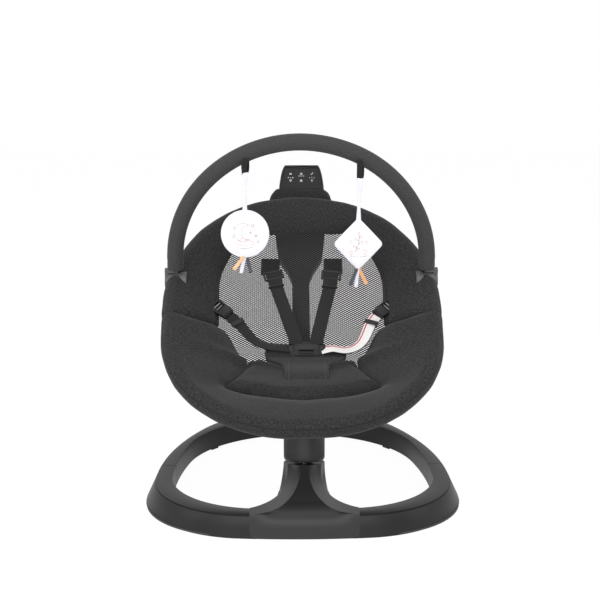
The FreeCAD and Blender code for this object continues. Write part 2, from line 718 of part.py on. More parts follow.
back = math.radians(size("back_angle"))
back_way = Vector(0, math.cos(back), math.sin(back))
back_out = Vector(0, math.sin(back), -math.cos(back))
crease = Vector(0, -size("crease_y"), size("crease_z"))


def behind_mesh(distance, depth):
    """A point in the middle plane, up the back from the crease and behind the mesh."""
    return crease + back_way * distance + back_out * depth


spine_mid = size("back_gap + spine_thick / 2")
half_thick = size("spine_thick / 2")
bar_mid = size("spine_low + spine_thick / 2")
bend_up = (bar_mid - behind_mesh(0, spine_mid).z) / math.sin(back)
bend = behind_mesh(bend_up, spine_mid)


def make_spine():
    """The cradle's spine: level under the seat, then up behind the back."""
    front = -size("spine_front")
    lean_in = half_thick / math.cos(back / 2)
    bisector = Vector(0, math.sin(back / 2), -math.cos(back / 2))
    under, over = bend + bisector * lean_in, bend - bisector * lean_in
    top = bend + back_way * size("spine_rise")
    low_top, high_top = top + back_out * half_thick, top - back_out * half_thick
    profile = [(front, bar_mid - half_thick), (under.y, under.z), (low_top.y, low_top.z),
               (high_top.y, high_top.z), (over.y, over.z), (front, bar_mid + half_thick)]
    bar = prism(profile, size("spine_width / 2"))
    wide = size("cheek_gap / 2") - 0.3
    lug = rod(pivot - X_AXIS * wide, pivot + X_AXIS * wide, size("lug_radius"))
    hole = rod(pivot - X_AXIS * 40, pivot + X_AXIS * 40, size("pin_radius + running_gap"))
    free_form("spine", bar.fuse(lug).cut(hole).removeSplitter())


make_spine()


def across_back(distance, depth, half_width, thick):
    """A rectangle across the back, to loft the head of the spine through."""
    middle = behind_mesh(distance, depth)
    corners = [middle + X_AXIS * half_width * i + back_out * thick * j
               for i, j in ((-1, 0), (1, 0), (1, 1), (-1, 1))]
    return Part.makePolygon(corners + corners[:1])


def make_spine_head():
    """The spine's wide upper end: a front and a rear shell, meeting in its middle plane."""
    start = bend_up + size("spine_rise") + 0.2
    length = size("spine_head_length")
    wide = size("spine_head_width / 2")
    steps = [(0, size("spine_width / 2")), (0.14, wide * 0.55), (0.3, wide * 0.9), (0.5, wide),
             (1, wide * 1.16)]
    clear = 0.1
    for label, depth, thick in (("spine_head_front", spine_mid - clear, -half_thick + clear),
                                ("spine_head_rear", spine_mid + clear, half_thick - clear)):
        wires = [across_back(start + share * length, depth, half, thick) for share, half in steps]
        free_form(label, Part.makeLoft(wires, True, True))


make_spine_head()

rim = outline(size("rim_half_width"), -size("rim_front"), size("rim_rear"), size("rim_lead"),
              size("rim_front_radius"), size("rim_corner_radius"),
              size("rim_side_front_radius"), size("rim_side_radius"))
rim_place = Placement(Vector(0, 0, size("rim_mid_z")), Rotation(X_AXIS, size("rim_tilt")))
rim_tilt = math.radians(size("rim_tilt"))


def rim_piece(start, stop, outer, inner=0.0):
    """A round tube, or a roll with a tunnel, along the rim between two normal angles."""
    path = stretch(rim, start, stop)
    begin = path[0].Vertexes[0].Point
    tangent = path[0].tangentAt(path[0].FirstParameter)
    solids = []
    for radius in (outer, inner):
        if radius > 0:
            ring = Part.Wire(Part.makeCircle(radius, begin, tangent))
            solids.append(Part.Wire(path).makePipeShell([ring], True, True))
    return solids[0].cut(solids[1]) if len(solids) == 2 else solids[0]


def in_rim_plane(shape):
    shape.Placement = rim_place.multiply(shape.Placement)
    return shape


def on_rim(angle):
    """The point of the rim's middle line at a normal angle, in the part's frame."""
    arc = next(a for a in rim[5:10] if a[3] <= angle <= a[4])
    return rim_place.multVec(on_arc(arc, angle))


hub_station = size("hub_y") / math.cos(rim_tilt)
hub_angle = angle_at(rim, hub_station)
corner_end, head_start = rim[6][4], rim[9][3]
hub_span = math.degrees(size("hub_radius + hub_slit") / rim[8][2])
seam = 0.05


def make_rim():
    tube, bore = size("tube_radius"), size("tube_radius - tube_wall")
    roll, tunnel = size("roll_radius"), size("tube_radius + roll_gap")
    clamp = size("clamp_half + soft_gap")
    front_span = (-180 - corner_end + seam, corner_end - seam)
    for label, spans in (
            ("frame_tube_front", [front_span]),
            ("frame_tubes_side", [(corner_end + seam, head_start - seam),
                                  (180 - head_start + seam, 180 - corner_end - seam)]),
            ("frame_tube_head", [(head_start + seam, 180 - head_start - seam)])):
        tubes = [in_rim_plane(rim_piece(start, stop, tube, bore)) for start, stop in spans]
        free_form(label, Part.makeCompound(tubes))
    collar = size("collar_half + soft_gap")
    head_notch = box(Vector(-clamp, size("rim_rear") - 60, -60),
                     Vector(clamp, size("rim_rear") + 60, 60))
    head_notch = head_notch.fuse(box(Vector(-collar, size("rim_rear - tube_radius"), -60),
                                     Vector(collar, size("rim_rear") + 60, 60)))
    front_notch = box(Vector(-clamp, -size("rim_front") - 60, -60),
                      Vector(clamp, -size("rim_front") + 60, 0))
    front = rim_piece(*front_span, roll, tunnel).cut(front_notch)
    head = rim_piece(hub_angle + hub_span, 180 - hub_angle - hub_span, roll, tunnel)
    sides = [rim_piece(corner_end + seam, hub_angle - hub_span, roll, tunnel),
             rim_piece(180 - hub_angle + hub_span, 180 - corner_end - seam, roll, tunnel)]
    free_form("front_roll", in_rim_plane(front))
    free_form("head_roll", in_rim_plane(head.cut(head_notch)))
    free_form("side_rolls", Part.makeCompound([in_rim_plane(side) for side in sides]))


make_rim()


# ---------------------------------------------------------------- saddle, bowl and pads

def tube_bore(start, stop):
    """The space that a frame tube takes, a little wider than the tube."""
    return in_rim_plane(rim_piece(start, stop, size("tube_radius") + 0.05))


def make_saddle():
    """The block that joins the spine's front end to the front tube."""
    half, front = size("clamp_half"), -size("spine_front")
    low, high = size("spine_low + saddle_rise"), size("spine_low + spine_thick - saddle_rise")
    saddle = box(Vector(-half, front - size("saddle_length"), low), Vector(half, front - 0.2, high))
    free_form("front_saddle", saddle.cut(tube_bore(-100, -80)))


make_saddle()


def cushion_top(y):
    """Height of the seat cushion's top at a station y."""
    front, rear = -size("cushion_front_y"), -size("crease_y")
    share = (y - front) / (rear - front)
    return size("cushion_front_z") + share * (size("crease_z") - size("cushion_front_z"))


def make_cushion():
    front, rear = -size("cushion_front_y"), -size("crease_y + soft_gap")
    thick = size("cushion_thick")
    profile = [(front, cushion_top(front)), (rear, cushion_top(rear)),
               (rear, cushion_top(rear) - thick), (front, cushion_top(front) - thick)]
    free_form("seat_cushion", prism(profile, size("cushion_half")))


make_cushion()


def back_panel(outline_points, front_depth, rear_depth):
    """A slab in the plane of the back; the outline's points are (x, distance up)."""
    points = [Vector(x, 0, 0) + behind_mesh(up, front_depth) for x, up in outline_points]
    points += [Vector(-x, 0, 0) + behind_mesh(up, front_depth)
               for x, up in reversed(outline_points)]
    face = Part.Face(Part.makePolygon(points + points[:1]))
    return face.extrude(back_out * (rear_depth - front_depth))


def mesh_half_at(up):
    """Half width of the mesh panel at a distance up the back."""
    low, corner, top = size("mesh_low_half"), size("mesh_half"), size("mesh_top_half")
    bend_at, shoulder, end = size("mesh_corner"), size("mesh_corner * 1.9"), size("mesh_length")
    if up < bend_at:
        return low + (corner - low) * max(up, 0) / bend_at
    if up < shoulder:
        return corner
    return corner + (top - corner) * (up - shoulder) / (end - shoulder)


def rim_inside(y):
    """Half width between the rolls of the rim at a station y."""
    angle = angle_at(rim, y / math.cos(rim_tilt))
    arc = next(a for a in rim[5:10] if a[3] <= angle <= a[4])
    return on_arc(arc, angle).x - size("roll_radius + soft_gap")


def make_back():
    ups = [4, size("mesh_corner"), size("mesh_corner * 1.9"), size("mesh_length")]
    mesh = [(mesh_half_at(up), up) for up in ups]
    free_form("mesh_panel", back_panel(mesh, 0, size("mesh_thick")))
    low = size("mesh_length") + 2
    top_rail = rim_place.multVec(Vector(0, size("rim_rear"), 0))
    high = (top_rail - crease).dot(back_way) - size("head_pad_drop")
    pad_points = [(rim_inside(behind_mesh(up, 0).y) - size("head_pad_side"), up)
                  for up in (low, high)]
    free_form("head_pad", back_panel(pad_points, 0, size("head_pad_thick")))


make_back()


def bolster_section(y, side):
    """A slanted strip across the bowl's side wall, between the seat or mesh and the rim."""
    outer_x = rim_inside(y)
    rim_z = size("rim_mid_z") + y * math.tan(rim_tilt)
    up = (y + size("crease_y")) / math.cos(back)
    gap, thick = size("soft_gap"), size("bolster_thick")
    if up <= 0:
        inner_x, inner_z = size("cushion_half") + gap, cushion_top(y)
    else:
        wide = max(mesh_half_at(up), size("cushion_half"))
        inner_x, inner_z = wide + gap, behind_mesh(up, 0).z
    outline_points = [(inner_x, inner_z), (outer_x - thick, rim_z - thick / 7),
                      (outer_x, rim_z - thick * 5 / 7), (inner_x + thick / 7, inner_z - thick)]
    points = [Vector(side * x, y, z) for x, z in outline_points]
    return Part.makePolygon(points + points[:1])


def make_bolsters():
    front, bend_y, rear = -size("bolster_front"), -size("crease_y"), size("bolster_rear")
    stations = [front + (bend_y - front) * step / 4 for step in range(4)]
    stations += [bend_y + (rear - bend_y) * step / 3 for step in range(4)]
    for label, side in (("bolster_right", 1), ("bolster_left", -1)):
        sections = [bolster_section(y, side) for y in stations]
        free_form(label, Part.makeLoft(sections, True, True))


make_bolsters()


# ---------------------------------------------------------------- control head

head_place = Placement(Vector(0, size("head_y"), size("head_z")),
                       Rotation(X_AXIS, -size("head_tilt")))


def head_outline(drawing, inset):
    """The panel's outline: narrow at the top, bulging at the sides, flat below."""
    low, high = f"head_low + {inset}", f"head_top - {inset}"
    mid = "(head_low + head_top) / 2"
    polygon(drawing, [
        (f"-head_low_half + {inset}", low), (f"head_low_half - {inset}", low),
        (f"head_mid_half - {inset}", mid), (f"head_top_half - {inset}", high),
        (f"-head_top_half + {inset}", high), (f"-head_mid_half + {inset}", mid),
    ])


def make_head():
    rear = body("control_head_rear", head_place)
    shape = sketch(rear, "head_rear_outline", "XZ_Plane", "-head_thick / 6")
    head_outline(shape, "0")
    pad(rear, shape, "head_thick * 2 / 3 - 0.1")
    round_edges(rear, "head_corner", along(Y_AXIS))
    hollow = sketch(rear, "head_rear_hollow", "XZ_Plane", "head_thick / 6")
    head_outline(hollow, "head_wall")
    pocket(rear, hollow, "2 * (head_thick * 2 / 3 - head_wall)")

    front = body("control_head_front", head_place)
    shape = sketch(front, "head_front_outline", "XZ_Plane", "head_thick / 3")
    head_outline(shape, "0")
    pad(front, shape, "head_thick / 3 - 0.1")
    round_edges(front, "head_corner", along(Y_AXIS))
    window = sketch(front, "head_window", "XZ_Plane", "head_thick / 2")
    rectangle(window, "-lens_half", "lens_half", "lens_low", "lens_high")
    pocket(front, window, "2 * lens_thick")

    lens = body("control_lens", head_place)
    shape = sketch(lens, "lens_outline", "XZ_Plane", "head_thick / 2 - lens_thick / 2")
    rectangle(shape, "-lens_half + 0.15", "lens_half - 0.15", "lens_low + 0.15",
              "lens_high - 0.15")
    pad(lens, shape, "lens_thick - 0.2")

    board = body("control_board", head_place)
    shape = sketch(board, "board_outline", "XZ_Plane", "0")
    rectangle(shape, "-lens_half + 2", "lens_half - 2", "lens_low", "lens_high - 4")
    pad(board, shape, "board_thick")

    turned("speaker", [
        ("0", "0"), ("speaker_radius", "0"), ("speaker_radius", "1.5"),
        ("speaker_radius * 0.6", "speaker_height"), ("0", "speaker_height"),
    ], head_place.multiply(Placement(
        Vector(0, size("board_thick"), size("(lens_low + lens_high) / 2")),
        Rotation(X_AXIS, -90))))

    wide, narrow, thick = size("collar_half"), size("collar_top_half"), size("collar_thick")
    low, high, face = -size("collar_low"), size("head_low") - 0.2, -thick * 0.36
    corners = [Vector(-wide, face, low), Vector(wide, face, low),
               Vector(narrow, face, high), Vector(-narrow, face, high)]
    collar = Part.Face(Part.makePolygon(corners + corners[:1])).extrude(Y_AXIS * (thick - 5))
    clamp, behind = size("clamp_half"), thick * 0.36
    collar = collar.fuse(box(Vector(-clamp, -size("clamp_reach"), -size("clamp_depth") + low),
                             Vector(clamp, behind, low + size("collar_low * 2"))))
    collar.Placement = head_place
    free_form("head_collar", collar.cut(tube_bore(80, 100)).removeSplitter())


make_head()


# ---------------------------------------------------------------- toy bar

hub_middle = Vector(0, size("hub_y"), size("rim_mid_z") + size("hub_y") * math.tan(rim_tilt))
rim_at_hub = on_rim(hub_angle).x
bar_place = Placement(hub_middle, Rotation(X_AXIS, size("bar_tilt")))
bar_half = rim_at_hub + size("hub_outside") + size("eye_thick") + 0.4 - size("bar_radius + 3")


def make_hubs():
    """On each side a hub on the rim tube, a pin in it and the bar's end piece on the pin."""
    radius, pin = size("hub_radius"), size("bar_pin_radius")
    hubs, pins, ends = [], [], []
    for side in (1, -1):
        inner = hub_middle + X_AXIS * side * (rim_at_hub - size("hub_inside"))
        outer = hub_middle + X_AXIS * side * (rim_at_hub + size("hub_outside"))
        middle = hub_angle if side > 0 else 180 - hub_angle
        start = hub_middle + X_AXIS * side * (rim_at_hub + size("tube_radius") + 0.6)
        end = outer + X_AXIS * side * size("eye_thick + 1.2")
        hub = rod(inner, outer, radius).cut(tube_bore(middle - 4, middle + 4))
        hubs.append(hub.cut(rod(start, end, pin)))
        eye_low = outer + X_AXIS * side * 0.4
        eye_high = eye_low + X_AXIS * side * size("eye_thick")
        head = rod(eye_high + X_AXIS * side * 0.3, end, pin + 2.5)
        pins.append(rod(start, end, pin).fuse(head).removeSplitter())

        half, start_up = size("stem_width / 2"), size("bar_start")
        shift = Placement(hub_middle, bar_place.Rotation)
        low_x, high_x = sorted((eye_low.x, eye_high.x))
        post = box(Vector(low_x, -half, 0), Vector(high_x, half, start_up - 2))
        reach = sorted((side * (bar_half - half), eye_high.x))
        bridge = box(Vector(reach[0], -half, radius + 1.5), Vector(reach[1], half, start_up - 2))
        plug = rod(Vector(side * bar_half, 0, start_up - 3),
                   Vector(side * bar_half, 0, size("bar_straight") - 2),
                   size("bar_tube_radius") - 1.6)
        arm = post.fuse(bridge).fuse(plug)
        arm.Placement = shift
        end_piece = arm.fuse(rod(eye_low, eye_high, size("eye_radius")))
        bore = rod(eye_low - X_AXIS * side, eye_high + X_AXIS * side, pin + size("running_gap"))
        ends.append(end_piece.cut(bore).removeSplitter())
    free_form("side_hubs", Part.makeCompound(hubs))
    free_form("bar_pins", Part.makeCompound(pins))
    free_form("bar_ends", Part.makeCompound(ends))


make_hubs()


def make_bar():
    """The arch: a straight rise from each end and a half circle between them."""
    start, rise = size("bar_start"), size("bar_straight")
    right, left = Vector(bar_half, 0, rise), Vector(-bar_half, 0, rise)
    crown = Part.Arc(right, Vector(0, 0, rise + bar_half), left).toShape()

    def along_bar(radius, foot):
        path = Part.Wire([Part.LineSegment(Vector(bar_half, 0, foot), right).toShape(), crown,
                          Part.LineSegment(left, Vector(-bar_half, 0, foot)).toShape()])
        ring = Part.Wire(Part.makeCircle(radius, Vector(bar_half, 0, foot), Z_AXIS))
        return path.makePipeShell([ring], True, True)

    tube_radius = size("bar_tube_radius")
    tube = along_bar(tube_radius, start - 1.8).cut(along_bar(tube_radius - 1.5, start - 1.8))
    tube.Placement = bar_place
    free_form("toy_bar_tube", tube)
    cover = along_bar(size("bar_radius"), start).cut(along_bar(tube_radius + 0.1, start))
    cover.Placement = bar_place
    free_form("toy_bar_cover", cover)


make_bar()


# ---------------------------------------------------------------- toys

def make_loops():
    """A webbing band round the bar at each toy, with a tab that the toy's strap hangs from."""
    half, thick = size("loop_width / 2"), size("loop_thick")
    turn = math.asin(size("toy_x") / bar_half)
    loops = []
    for name, side in (("right", 1), ("left", -1)):
        local = Vector(side * size("toy_x"), 0,
                       size("bar_straight") + bar_half * math.cos(turn))
        middle = bar_place.multVec(local)
        way = bar_place.Rotation.multVec(Vector(math.cos(turn), 0, -side * math.sin(turn)))
        inner = size("bar_radius") + 0.3
        band = rod(middle - way * half, middle + way * half, inner + thick)
        band = band.cut(rod(middle - way * half * 2, middle + way * half * 2, inner))
        low = middle - Z_AXIS * size("loop_drop")
        depth = (inner + thick / 2) / math.cos(turn)
        slope = side * half * math.tan(turn)
        corners = [low - X_AXIS * half, low + X_AXIS * half,
                   middle + Vector(half, 0, -depth - slope),
                   middle + Vector(-half, 0, -depth + slope)]
        corners = [corner - Y_AXIS * (thick / 2) for corner in corners]
        tab = Part.Face(Part.makePolygon(corners + corners[:1])).extrude(Y_AXIS * thick)
        loops.append(band.fuse(tab).removeSplitter())
        make_toy(name, side, low)
    free_form("toy_loops", Part.makeCompound(loops))


def make_toy(name, side, hang):
    """A fabric shape on a strap with three short ribbons below it."""
    is_round = side < 0
    drop = size("disc_drop" if is_round else "diamond_drop") - size("loop_drop")
    diagonal = size("diamond_side") / math.sqrt(2)
    reach = size("disc_radius") if is_round else diagonal - size("diamond_corner") * 0.41
    centre = hang - Z_AXIS * drop
    if is_round:
        turned("round_toy", [
            ("0", "-toy_thick / 2"), ("disc_radius - 6", "-toy_thick / 2"),
            ("disc_radius", "-1"), ("disc_radius", "1"), ("disc_radius - 6", "toy_thick / 2"),
            ("0", "toy_thick / 2"),
        ], Placement(centre, Rotation(X_AXIS, 90)))
    else:
        owner = body("diamond_toy", Placement(centre, Rotation(Y_AXIS, 45)))
        square = sketch(owner, "diamond_outline", "XZ_Plane")
        rectangle(square, "-diamond_side / 2", "diamond_side / 2", "-diamond_side / 2",
                  "diamond_side / 2")
        pad(owner, square, "toy_thick")
        round_edges(owner, "diamond_corner", along(Y_AXIS))
    half, thick = size("strap_width / 2"), size("strap_thick / 2")
    strap = box(centre + Vector(-half, -thick, reach + 0.2), hang + Vector(half, thick, -0.6))
    free_form(f"toy_strap_{name}", strap)
    wide, long, flat = size("ribbon_width"), size("ribbon_length"), size("ribbon_thick")
    strips = []
    for number in (-1, 0, 1):
        strip = box(Vector(-wide / 2, -flat / 2, -long), Vector(wide / 2, flat / 2, 0))
        turn = Rotation(Y_AXIS, 14 * number)
        foot = centre + Vector(number * 2.5, number * (flat + 0.3), -reach - 1.5)
        strip.Placement = Placement(foot, turn)
        strips.append(strip)
    free_form(f"toy_ribbons_{name}", Part.makeCompound(strips))


make_loops()


# ---------------------------------------------------------------- harness

harness_place = Placement(crease, Rotation(X_AXIS, size("back_angle")))


def webbing(points, width, thick):
    """A flat strap through points; its faces look out of the back as far as they can."""
    sections = []
    for number, point in enumerate(points):
        ahead = points[min(number + 1, len(points) - 1)] - points[max(number - 1, 0)]
        sideways = ahead.cross(Z_AXIS).normalize() * (width / 2)
        up = sideways.cross(ahead).normalize() * (thick / 2)
        corners = [point + sideways * i + up * j for i, j in ((-1, -1), (1, -1), (1, 1), (-1, 1))]
        sections.append(Part.makePolygon(corners + corners[:1]))
    strap = Part.makeLoft(sections, True, True)
    strap.Placement = harness_place
    return strap


def in_harness(shape):
    shape.Placement = harness_place.multiply(shape.Placement)
    return shape


def make_harness():
    """Straps in the plane of the back: x across, y up the back, z out towards the child."""
    width, thick = size("webbing_width"), size("webbing_thick")
    out, up, aside = size("buckle_out"), size("buckle_up"), size("buckle_x")
    buckle_top = up + size("buckle_height / 2")
    buckle_side = size("buckle_width / 2")
    shoulder, waist, clips, adjusters = [], [], [], []
    for side in (1, -1):
        top = Vector(side * size("shoulder_x"), size("mesh_length - shoulder_drop"), 4)
        bend_point = Vector(side * size("shoulder_bend_x") + aside / 2,
                            size("shoulder_bend_up"), 9)
        end = Vector(side * size("shoulder_end_x") + aside, buckle_top + 1, out)
        shoulder.append(webbing([top, bend_point, end], width, thick))
        way = (bend_point - top).normalize()
        wide, tall, deep = size("adjuster_width / 2"), size("adjuster_height / 2"), 4
        adjuster = box(Vector(-wide, -tall, 0), Vector(wide, tall, deep))
        tilt = math.degrees(math.atan2(way.x, -way.y))
        adjuster.Placement = Placement(top + way * size("adjuster_drop") + Z_AXIS * thick * 0.9,
                                       Rotation(Z_AXIS, tilt))
        adjusters.append(adjuster)

        slant = math.radians(size("clip_angle"))
        way = Vector(side * math.cos(slant), math.sin(slant), 0)
        middle = Vector(side * size("clip_x"), size("clip_up"), size("clip_thick + 1"))
        half, clip_half = size("clip_length / 2"), size("clip_width / 2")
        gap = size("clip_gap")
        near = middle + way * (half + gap)
        far = near + way * size("waist_tail") - Z_AXIS * size("webbing_thick * 2")
        turn_point = Vector(side * size("waist_bend_x") + aside / 2, size("waist_bend_up"), 13)
        inner = [middle - way * (half + gap), turn_point,
                 Vector(side * (buckle_side + 1) + aside, up, out)]
        waist += [webbing([far, near], width, thick), webbing(inner, width, thick)]
        flat = size("clip_thick / 2")
        clip = box(Vector(-half, -clip_half, -flat), Vector(half, clip_half, flat))
        clip.Placement = Placement(middle, Rotation(Z_AXIS, side * size("clip_angle")))
        clips.append(clip)
    free_form("shoulder_straps", Part.makeCompound(shoulder))
    free_form("waist_straps", Part.makeCompound(waist))
    free_form("shoulder_adjusters", in_harness(Part.makeCompound(adjusters)))
    free_form("side_release_buckles", in_harness(Part.makeCompound(clips)))

    front, half, deep = -size("crotch_slot_y"), size("crotch_half"), size("crotch_thick")
    foot = cushion_top(front) + 1.2
    heel_y = -size("crease_y") - 8
    heel = cushion_top(heel_y) + 1.2
    tip = harness_place.multVec(Vector(0, 6, 6))
    stem = prism([(front, foot), (heel_y, heel), (tip.y, tip.z - 3), (tip.y - 4, tip.z + 3),
                  (heel_y - 4, heel + deep), (front, foot + deep)], half)
    wing = size("wing_half")
    wings = in_harness(box(Vector(-wing, 5, 4.5), Vector(wing, 5 + size("wing_height"), 10)))
    crotch = stem.fuse(wings).removeSplitter()
    crotch.translate(X_AXIS * aside)
    free_form("crotch_pad", crotch)


make_harness()


def make_buckle():
    middle = Vector(size("buckle_x"), size("buckle_up"), size("buckle_out"))
    place = harness_place.multiply(Placement(middle, Rotation()))
    owner = body("harness_buckle", place)
    plan = sketch(owner, "buckle_plan", "XY_Plane")
    rectangle(plan, "-buckle_width / 2", "buckle_width / 2", "-buckle_height / 2",
              "buckle_height / 2")
    pad(owner, plan, "buckle_thick")
    round_edges(owner, "6", along(Z_AXIS))
    well = sketch(owner, "buckle_well", "XY_Plane", "buckle_thick / 2")
    rectangle(well, "-button_width / 2", "button_width / 2", "-button_height / 2",
              "button_height / 2")
    pocket(owner, well, "2 * (button_depth + 3)")
    button = body("buckle_button", place)
    plan = sketch(button, "button_plan", "XY_Plane", "buckle_thick / 2 - button_depth + 0.8")
    rectangle(plan, "-button_width / 2 + button_gap", "button_width / 2 - button_gap",
              "-button_height / 2 + button_gap", "button_height / 2 - button_gap")
    pad(button, plan, "button_depth", both_ways=False)
    round_edges(button, "3", along(Z_AXIS))


make_buckle()


# ---------------------------------------------------------------- check and write

doc.recompute()
os.makedirs("parts", exist_ok=True)
faults = []
parts = []
for item in doc.Objects:
    if any(word in item.State for word in ("Invalid", "Error")):
        faults.append(f"{item.Label}: {item.State}")
    if item.TypeId in ("PartDesign::Body", "Part::Feature", "Part::Cut") and not item.InList:
        shape = item.Shape
        if shape.isNull() or not shape.isValid() or not shape.Solids:
            faults.append(f"{item.Label}: its shape is empty or not valid")
        else:
            parts.append(item)
if faults:
    raise ValueError("; ".join(faults))
for item in parts:
    item.Shape.exportStep(f"parts/{item.Label}.step")
print(f"{len(parts)} sub-parts written")
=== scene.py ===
import json
import math

import bmesh
import bpy
import numpy as np
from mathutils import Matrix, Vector, noise
from mathutils.bvhtree import BVHTree


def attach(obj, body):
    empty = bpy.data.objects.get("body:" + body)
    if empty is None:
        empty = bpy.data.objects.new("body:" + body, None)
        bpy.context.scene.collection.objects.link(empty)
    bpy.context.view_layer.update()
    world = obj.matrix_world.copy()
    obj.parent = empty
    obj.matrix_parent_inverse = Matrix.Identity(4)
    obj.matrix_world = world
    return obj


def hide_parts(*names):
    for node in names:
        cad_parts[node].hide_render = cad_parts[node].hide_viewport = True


# Baby swing: the looks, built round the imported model. Lengths are in millimetres here and turned
# to metres where a mesh is made. The front faces -Y, +X is to the right, +Z is up.

# Without a seed the cloth's soft unevenness would come out a little different in each run
noise.seed_set(7)

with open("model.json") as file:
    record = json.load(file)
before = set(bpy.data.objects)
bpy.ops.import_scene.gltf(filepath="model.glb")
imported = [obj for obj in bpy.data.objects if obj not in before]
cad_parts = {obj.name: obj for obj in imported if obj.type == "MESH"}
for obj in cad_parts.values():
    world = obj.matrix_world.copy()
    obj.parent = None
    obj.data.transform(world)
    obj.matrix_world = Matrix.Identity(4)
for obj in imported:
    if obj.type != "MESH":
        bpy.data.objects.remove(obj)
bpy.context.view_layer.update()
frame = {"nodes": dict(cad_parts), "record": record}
cad = frame["nodes"]
MM = 0.001
# The wave texture draws about this many bands to a unit of its scale
WAVE_BANDS = 3.18


# ---------------------------------------------------------------- materials

def colour(code):
    """An sRGB hex colour as the linear values that a socket takes."""
    parts = [int(code[i:i + 2], 16) / 255 for i in (1, 3, 5)]
    linear = [c / 12.92 if c <= 0.04045 else ((c + 0.055) / 1.055) ** 2.4 for c in parts]
    return linear + [1.0]


def add(tree, kind, settings, sockets):
    """Add a node with its settings; a socket gets a value or a link."""
    node = tree.nodes.new(kind)
    for name, value in settings.items():
        setattr(node, name, value)
    for name, value in sockets.items():
        if isinstance(value, bpy.types.NodeSocket):
            tree.links.new(value, node.inputs[name])
        else:
            node.inputs[name].default_value = value
    return node


def start(name, roughness, ior=1.5, metallic=0.0):
    """A new material, its tree and its shader."""
    material = bpy.data.materials.new(name)
    material.use_nodes = True
    shader = material.node_tree.nodes["Principled BSDF"]
    shader.inputs["Roughness"].default_value = roughness
    shader.inputs["IOR"].default_value = ior
    shader.inputs["Metallic"].default_value = metallic
    return material, material.node_tree, shader


def moulded(name, dark, light, roughness, grain=0.8, depth=0.05, ior=1.5, metallic=0.0,
            shine=0.5):
    """A moulded or finished solid: a faint cloud of two near colours under a fine even grain.

    The grain is in millimetres, and the depth is that of its bumps. The clouds are about
    60 mm across, as flow marks are.
    """
    material, tree, shader = start(name, roughness, ior, metallic)
    shader.inputs["Specular IOR Level"].default_value = shine
    place = add(tree, "ShaderNodeTexCoord", {}, {}).outputs["Object"]
    cloud = add(tree, "ShaderNodeTexNoise", {}, {"Vector": place, "Scale": 1 / (60 * MM),
                                                 "Detail": 3.0, "Roughness": 0.55})
    fine = add(tree, "ShaderNodeTexNoise", {}, {"Vector": place, "Scale": 1 / (grain * MM),
                                                "Detail": 2.0, "Roughness": 0.6})
    mixed = add(tree, "ShaderNodeMix", {"data_type": "RGBA"}, {
        0: cloud.outputs["Fac"], 6: colour(dark), 7: colour(light)})
    rough = add(tree, "ShaderNodeMapRange", {}, {
        "Value": fine.outputs["Fac"], "From Min": 0.3, "From Max": 0.7,
        "To Min": roughness - 0.04, "To Max": roughness + 0.05})
    bump = add(tree, "ShaderNodeBump", {}, {"Height": fine.outputs["Fac"], "Strength": 0.35,
                                            "Distance": depth * MM})
    tree.links.new(mixed.outputs[2], shader.inputs["Base Color"])
    tree.links.new(rough.outputs["Result"], shader.inputs["Roughness"])
    tree.links.new(bump.outputs["Normal"], shader.inputs["Normal"])
    return material


def woven(name, dark, light, yarn, streak, relief, roughness=0.92, sheen=0.1, on_uv=True,
          along=None):
    """Cloth: yarns of two shades, drawn out along the cloth's length, with a plain weave's relief.

    Yarn is the width of one thread and streak the length that keeps one shade, in millimetres;
    along, where given, is a streak's length the other way.
    """
    material, tree, shader = start(name, roughness)
    shader.inputs["Sheen Weight"].default_value = sheen
    shader.inputs["Sheen Roughness"].default_value = 0.45
    shader.inputs["Specular IOR Level"].default_value = 0.25
    source = add(tree, "ShaderNodeTexCoord", {}, {}).outputs["UV" if on_uv else "Object"]
    stretched = add(tree, "ShaderNodeMapping", {}, {
        "Vector": source,
        "Scale": (1 / ((along or yarn) * MM), 1 / (streak * MM), 1 / (yarn * MM))})
    shades = add(tree, "ShaderNodeTexNoise", {}, {"Vector": stretched.outputs["Vector"],
                                                  "Scale": 1.0, "Detail": 2.0, "Roughness": 0.6})
    fleck = add(tree, "ShaderNodeTexNoise", {}, {"Vector": source, "Scale": 1 / (yarn * 1.6 * MM),
                                                 "Detail": 1.5, "Roughness": 0.7})
    both = add(tree, "ShaderNodeMath", {"operation": "ADD"}, {
        0: shades.outputs["Fac"], 1: fleck.outputs["Fac"]})
    # two noises of about 0.5 each add up to about 1, and this range draws their shades apart
    shade = add(tree, "ShaderNodeMapRange", {}, {
        "Value": both.outputs["Value"], "From Min": 0.83, "From Max": 1.19})
    mixed = add(tree, "ShaderNodeMix", {"data_type": "RGBA"}, {
        0: shade.outputs["Result"], 6: colour(dark), 7: colour(light)})
    warp, weft = (add(tree, "ShaderNodeTexWave", {"bands_direction": way}, {
        "Vector": source, "Scale": 1 / (yarn * 2 * MM) / WAVE_BANDS, "Distortion": 1.2,
        "Detail": 1.0}) for way in "XY")
    threads = add(tree, "ShaderNodeMath", {"operation": "ADD"}, {
        0: warp.outputs["Fac"], 1: weft.outputs["Fac"]})
    height = add(tree, "ShaderNodeMath", {"operation": "MULTIPLY_ADD"}, {
        0: threads.outputs["Value"], 1: 0.5, 2: both.outputs["Value"]})
    bump = add(tree, "ShaderNodeBump", {}, {"Height": height.outputs["Value"], "Strength": 0.6,
                                            "Distance": relief * MM})
    tree.links.new(mixed.outputs[2], shader.inputs["Base Color"])
    tree.links.new(bump.outputs["Normal"], shader.inputs["Normal"])
    return material


# Spark-eroded ABS, moulded: an even dull grain that softens the light along the ring
ring_abs = moulded("ABS, moulded, spark-eroded grain", "#1a1a1b", "#202021", 0.42, 0.9, 0.05,
                   shine=0.23)
